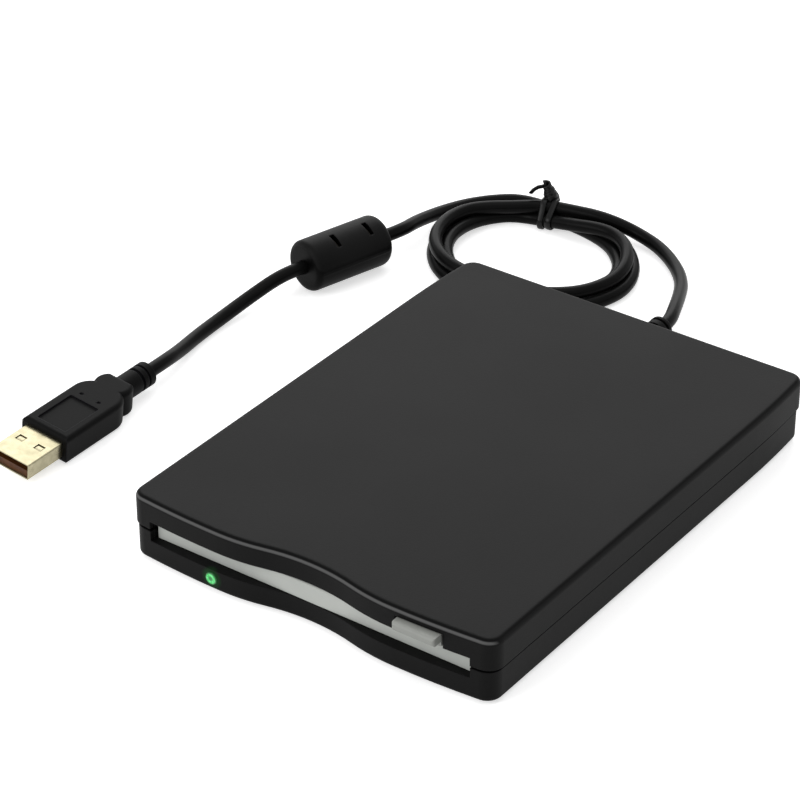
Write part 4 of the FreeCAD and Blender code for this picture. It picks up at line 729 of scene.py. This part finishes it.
# Enamelled copper wire is wound round each tooth in layers: orange-brown, glossy, in even rows.
# The wire of 0.1 mm is drawn in rows 1.9 mm apart, so that the rows show.
copper_wire, shader = new_finish("wound_enamelled_copper")
place = where(copper_wire, spindle_middle)
rows = add(copper_wire, "ShaderNodeTexWave", {
    "wave_type": "RINGS", "rings_direction": "Z", "Vector": place, "Scale": wave_scale(0.3)}).outputs[1]
join(copper_wire, varied(copper_wire, rows, "#6e2f12", "#c9703a", 0.0, 1.0), shader.inputs["Base Color"])
join(copper_wire, varied(copper_wire, rows, 0.42, 0.25, 0.0, 1.0), shader.inputs["Roughness"])
relief = add(copper_wire, "ShaderNodeBump", {"Height": rows, "Distance": 0.05 * mm, "Strength": 0.9})
join(copper_wire, relief.outputs[0], shader.inputs["Normal"])
shader.inputs["Metallic"].default_value = 1.0
dress("stator_windings", copper_wire)


# The rotor is a shallow cup, drawn from steel and turned true, which carries the disk's hub on top.
# Its magnet is a ring of ferrite, glued inside the rim and finished with the bead's core above.
rotor_steel = turned("turned_rotor_steel", "#bfc3c7", "#a9adb2", 0.28, 0.5, spindle_middle, "Z")
dress("spindle_rotor", rotor_steel)


# The stepper is a small can of plated sheet, pressed and crimped, with a dull even coat.
# It stands on the tray behind the carriage, and its shaft is the lead screw.
motor_middle = (19.5, 58.0, 9.5)
screw_middle = (19.5, 0.0, 9.5)
motor_can = turned("pressed_motor_can", "#b4b7ba", "#a0a3a7", 0.38, 0.6, motor_middle, "Y")
dress("stepper_motor", motor_can)
# The screw is rolled, and two ground rods guide the heads: hard, clean and bright.
screw_rod = turned("rolled_screw_steel", "#d2d4d6", "#bcbfc2", 0.2, 0.3, screw_middle, "Y")
dress("lead_screw", screw_rod)
ground_rod = metal("ground_rod_steel", "#dcdee0", "#cfd2d5", 0.12, 0.3, (1, 0.03, 1), 0.003)
dress("guide_rod_left guide_rod_right", ground_rod)
# Two springs draw the slide forward. Each is wound from music wire, and hooked on the cover and the slide.
# They are oiled and darker than the rods, with fine lines, and close up as the slide moves.
spring_wire = metal("drawn_music_wire", "#8b8e92", "#75787c", 0.26, 0.3, (1, 0.2, 1), 0.004)
spring_aside = 40.0
spring_high = 14.35
spring_near = -51.85
spring_long = 29.6
spring_pitch = 1.5
spring_round = 0.42
wire_thick = 0.44
points_a_winding = 14
for word, aside in (("slide_spring_left", -spring_aside), ("slide_spring_right", spring_aside)):
    winding = []
    for step in range(int(spring_long / spring_pitch * points_a_winding) + 1):
        turn = math.tau * step / points_a_winding
        along = spring_near + spring_pitch * step / points_a_winding
        across = aside + spring_round * math.cos(turn)
        above = spring_high + spring_round * math.sin(turn)
        winding.append((Vector((across, along, above)), Vector((0, 1, 0))))
    spring = strip("wound_" + word, winding, wire_thick, wire_thick)
    spring.data.materials.append(spring_wire)
    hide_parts(word)
    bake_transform(spring)


# The carriage slides on the two rods, driven by the screw. It is dark plastic with glass in it,
# moulded and matt, with a slightly paler fleck of fibres.
carriage_plastic = moulded("glass_filled_dark_plastic", "#1d1e20", "#2a2b2d", 0.55, 0.4, 0.03, 0.35,
                           0.2, "#35363a", 3.0)
dress("head_carriage", carriage_plastic)
# The heads are small blocks of fired ceramic, lapped until they shine.
head_ceramic = moulded("lapped_head_ceramic", "#4a443c", "#5b544a", 0.14, 0.4, 0.003, 0.6,
                       0.15, "#80776a", 2.0, 1.7)
dress("lower_head upper_head", head_ceramic)
# Their wires run in a flat ribbon of amber film, laminated over fine copper strips. These are drawn as
# darker stripes 6.3 mm apart, so that they show.
ribbon_film, shader = new_finish("laminated_amber_film")
place = where(ribbon_film)
stripes = add(ribbon_film, "ShaderNodeTexWave", {
    "wave_type": "BANDS", "bands_direction": "X", "Vector": place, "Scale": wave_scale(1.0)}).outputs[1]
join(ribbon_film, varied(ribbon_film, stripes, "#a3541b", "#d98a35", 0.35, 0.65), shader.inputs["Base Color"])
join(ribbon_film, varied(ribbon_film, stripes, 0.28, 0.2, 0.0, 1.0), shader.inputs["Roughness"])
relief = add(ribbon_film, "ShaderNodeBump", {
    "invert": True, "Height": stripes, "Distance": 0.03 * mm, "Strength": 0.5})
join(ribbon_film, relief.outputs[0], shader.inputs["Normal"])
dress("head_ribbon", ribbon_film)


# The track sensor and the two disk switches are small moulded blocks, soldered in place.
# They are black and dull.
sensor_plastic = moulded("moulded_sensor_plastic", "#141416", "#1c1c1f", 0.42, 0.5, 0.02, 0.4,
                         0.2, "#2c2c30", 3.0)
dress("track_sensor protect_switch media_switch", sensor_plastic)
# The switches' plungers are white acetal, worn smooth by use, with a soft waxy light.
plunger_acetal = moulded("moulded_plunger_acetal", "#e8e8e2", "#dcdcd4", 0.3, 0.5, 0.005, 0.5,
                         0.15, "#f3f3ee", 2.0)
dress("protect_plunger media_plunger", plunger_acetal)


# A hinged flap closes the slot, and turns on a pin at each end, held in the lower half's ears.
# It is moulded in pale grey ABS, with a fine satin grain from the mould.
flap_abs = moulded("satin_grey_flap_abs", "#bcbfba", "#c4c7c2", 0.5, 0.5, 0.012, 0.3,
                   0.25, "#ced1cc", 12.0, 1.53)
dress("dust_flap", flap_abs)


# The eject button is moulded in grey ABS and sits on the front end of the slide.
# It is darker than the flap. Its edges are painted much paler: partly wear from fingers, partly a painted
# highlight along the rounding.
button_abs = moulded("satin_grey_button_abs", "#90928d", "#969893", 0.42, 0.5, 0.01, 0.4,
                     0.3, "#c4c6c1", 8.0, 1.53)
dress("eject_button", button_abs)


# The status window is a round light pipe of green acrylic, pressed into the front and lit from behind.
# A ring halfway out is brightest, and the middle and the rim are darker.
middle_glow = 0.22
middle_ends = 0.4
ring_from = 0.8
ring_to = 1.2
rim_from = 1.5
rim_glow = 0.06
bubble_mm = 0.8
window_acrylic, shader = new_finish("lit_green_acrylic")
away = add(window_acrylic, "ShaderNodeVectorMath", {
    "operation": "LENGTH", 0: where(window_acrylic, lamp_place)}).outputs["Value"]
bubbles = add(window_acrylic, "ShaderNodeTexNoise", {
    "Vector": where(window_acrylic), "Scale": 1000 / bubble_mm, "Detail": 2.0}).outputs[0]
body = varied(window_acrylic, bubbles, "#0f4a20", "#155c2a")
join(window_acrylic, body, shader.inputs["Base Color"])
inner = varied(window_acrylic, away, middle_glow, 1.0, middle_ends * mm, ring_from * mm)
outer = varied(window_acrylic, away, 1.0, rim_glow, ring_to * mm, rim_from * mm)
join(window_acrylic, add(window_acrylic, "ShaderNodeMath", {
    "operation": "MULTIPLY", 0: inner, 1: outer}).outputs[0], shader.inputs["Emission Strength"])
join(window_acrylic, varied(window_acrylic, bubbles, "#2fbf55", "#6fe08c", 0.45, 0.65),
     shader.inputs["Emission Color"])
join(window_acrylic, varied(window_acrylic, bubbles, 0.12, 0.22), shader.inputs["Roughness"])
shader.inputs["IOR"].default_value = 1.49
dress("status_window", window_acrylic)
# The lamp itself is a small diode in tinted epoxy, cast smooth, with a darker crystal cup inside.
lamp_epoxy = moulded("cast_tinted_epoxy", "#3f9c57", "#5cb873", 0.1, 0.6, 0.004, 0.5, patch_mm=1.5)
dress("status_lamp", lamp_epoxy)


# The drive stands on a plain white sheet, under wide soft lamps and a pale studio wall behind it.
# Nothing here belongs to the drive. The sheet keeps the drive's shadow and fades to white around it.
paper_glow = 0.6
sheet_reach = 6
sky_light = 0.45
sky_seen = 1.0
lit_place = Vector((-0.02, 0.0, 0.01))
floor_mesh = bpy.data.meshes.new("white_sheet")
floor_mesh.from_pydata([
    (-sheet_reach, -sheet_reach, 0), (sheet_reach, -sheet_reach, 0),
    (sheet_reach, sheet_reach, 0), (-sheet_reach, sheet_reach, 0)], [], [(0, 1, 2, 3)])
floor = bpy.data.objects.new("white_sheet", floor_mesh)
bpy.context.scene.collection.objects.link(floor)
sheet, shader = new_finish("white_paper")
shader.inputs["Base Color"].default_value = linear("#f4f4f4")
shader.inputs["Roughness"].default_value = 0.9
shader.inputs["Specular IOR Level"].default_value = 0.0
shader.inputs["Emission Color"].default_value = (1, 1, 1, 1)


def seen(finish):
    """One for a ray from the camera, a mirror or glass, and none for the light that falls on the drive."""
    path = add(finish, "ShaderNodeLightPath", {})
    mirrored = add(finish, "ShaderNodeMath", {
        "operation": "MAXIMUM", 0: path.outputs["Is Glossy Ray"],
        1: path.outputs["Is Transmission Ray"]}).outputs[0]
    return add(finish, "ShaderNodeMath", {
        "operation": "MAXIMUM", 0: path.outputs["Is Camera Ray"], 1: mirrored}).outputs[0]


join(sheet, varied(sheet, seen(sheet), 0.0, paper_glow, 0.0, 1.0), shader.inputs["Emission Strength"])
floor_mesh.materials.append(sheet)

world = bpy.data.worlds.new("studio")
bpy.context.scene.world = world
world.use_nodes = True
sky = world.node_tree.nodes["Background"]
join(world, varied(world, seen(world), sky_light, sky_seen, 0.0, 1.0), sky.inputs["Strength"])
sky.inputs["Color"].default_value = (1, 1, 1, 1)

for word, place, reach, power in (
        ("wall_lamp", (-0.95, 1.30, 1.05), 1.4, 15.0),
        ("overhead_lamp", (0.1, 0.1, 1.6), 1.2, 5.0),
        ("front_lamp", (-0.6, -1.2, 0.8), 0.8, 8.0)):
    lamp = bpy.data.lights.new(word, "AREA")
    lamp.size = reach
    lamp.energy = power
    stand = bpy.data.objects.new(word, lamp)
    stand.location = place
    stand.visible_camera = False
    stand.rotation_euler = (lit_place - Vector(place)).to_track_quat("-Z", "Y").to_euler()
    bpy.context.scene.collection.objects.link(stand)
bpy.context.scene.view_settings.view_transform = "Standard"
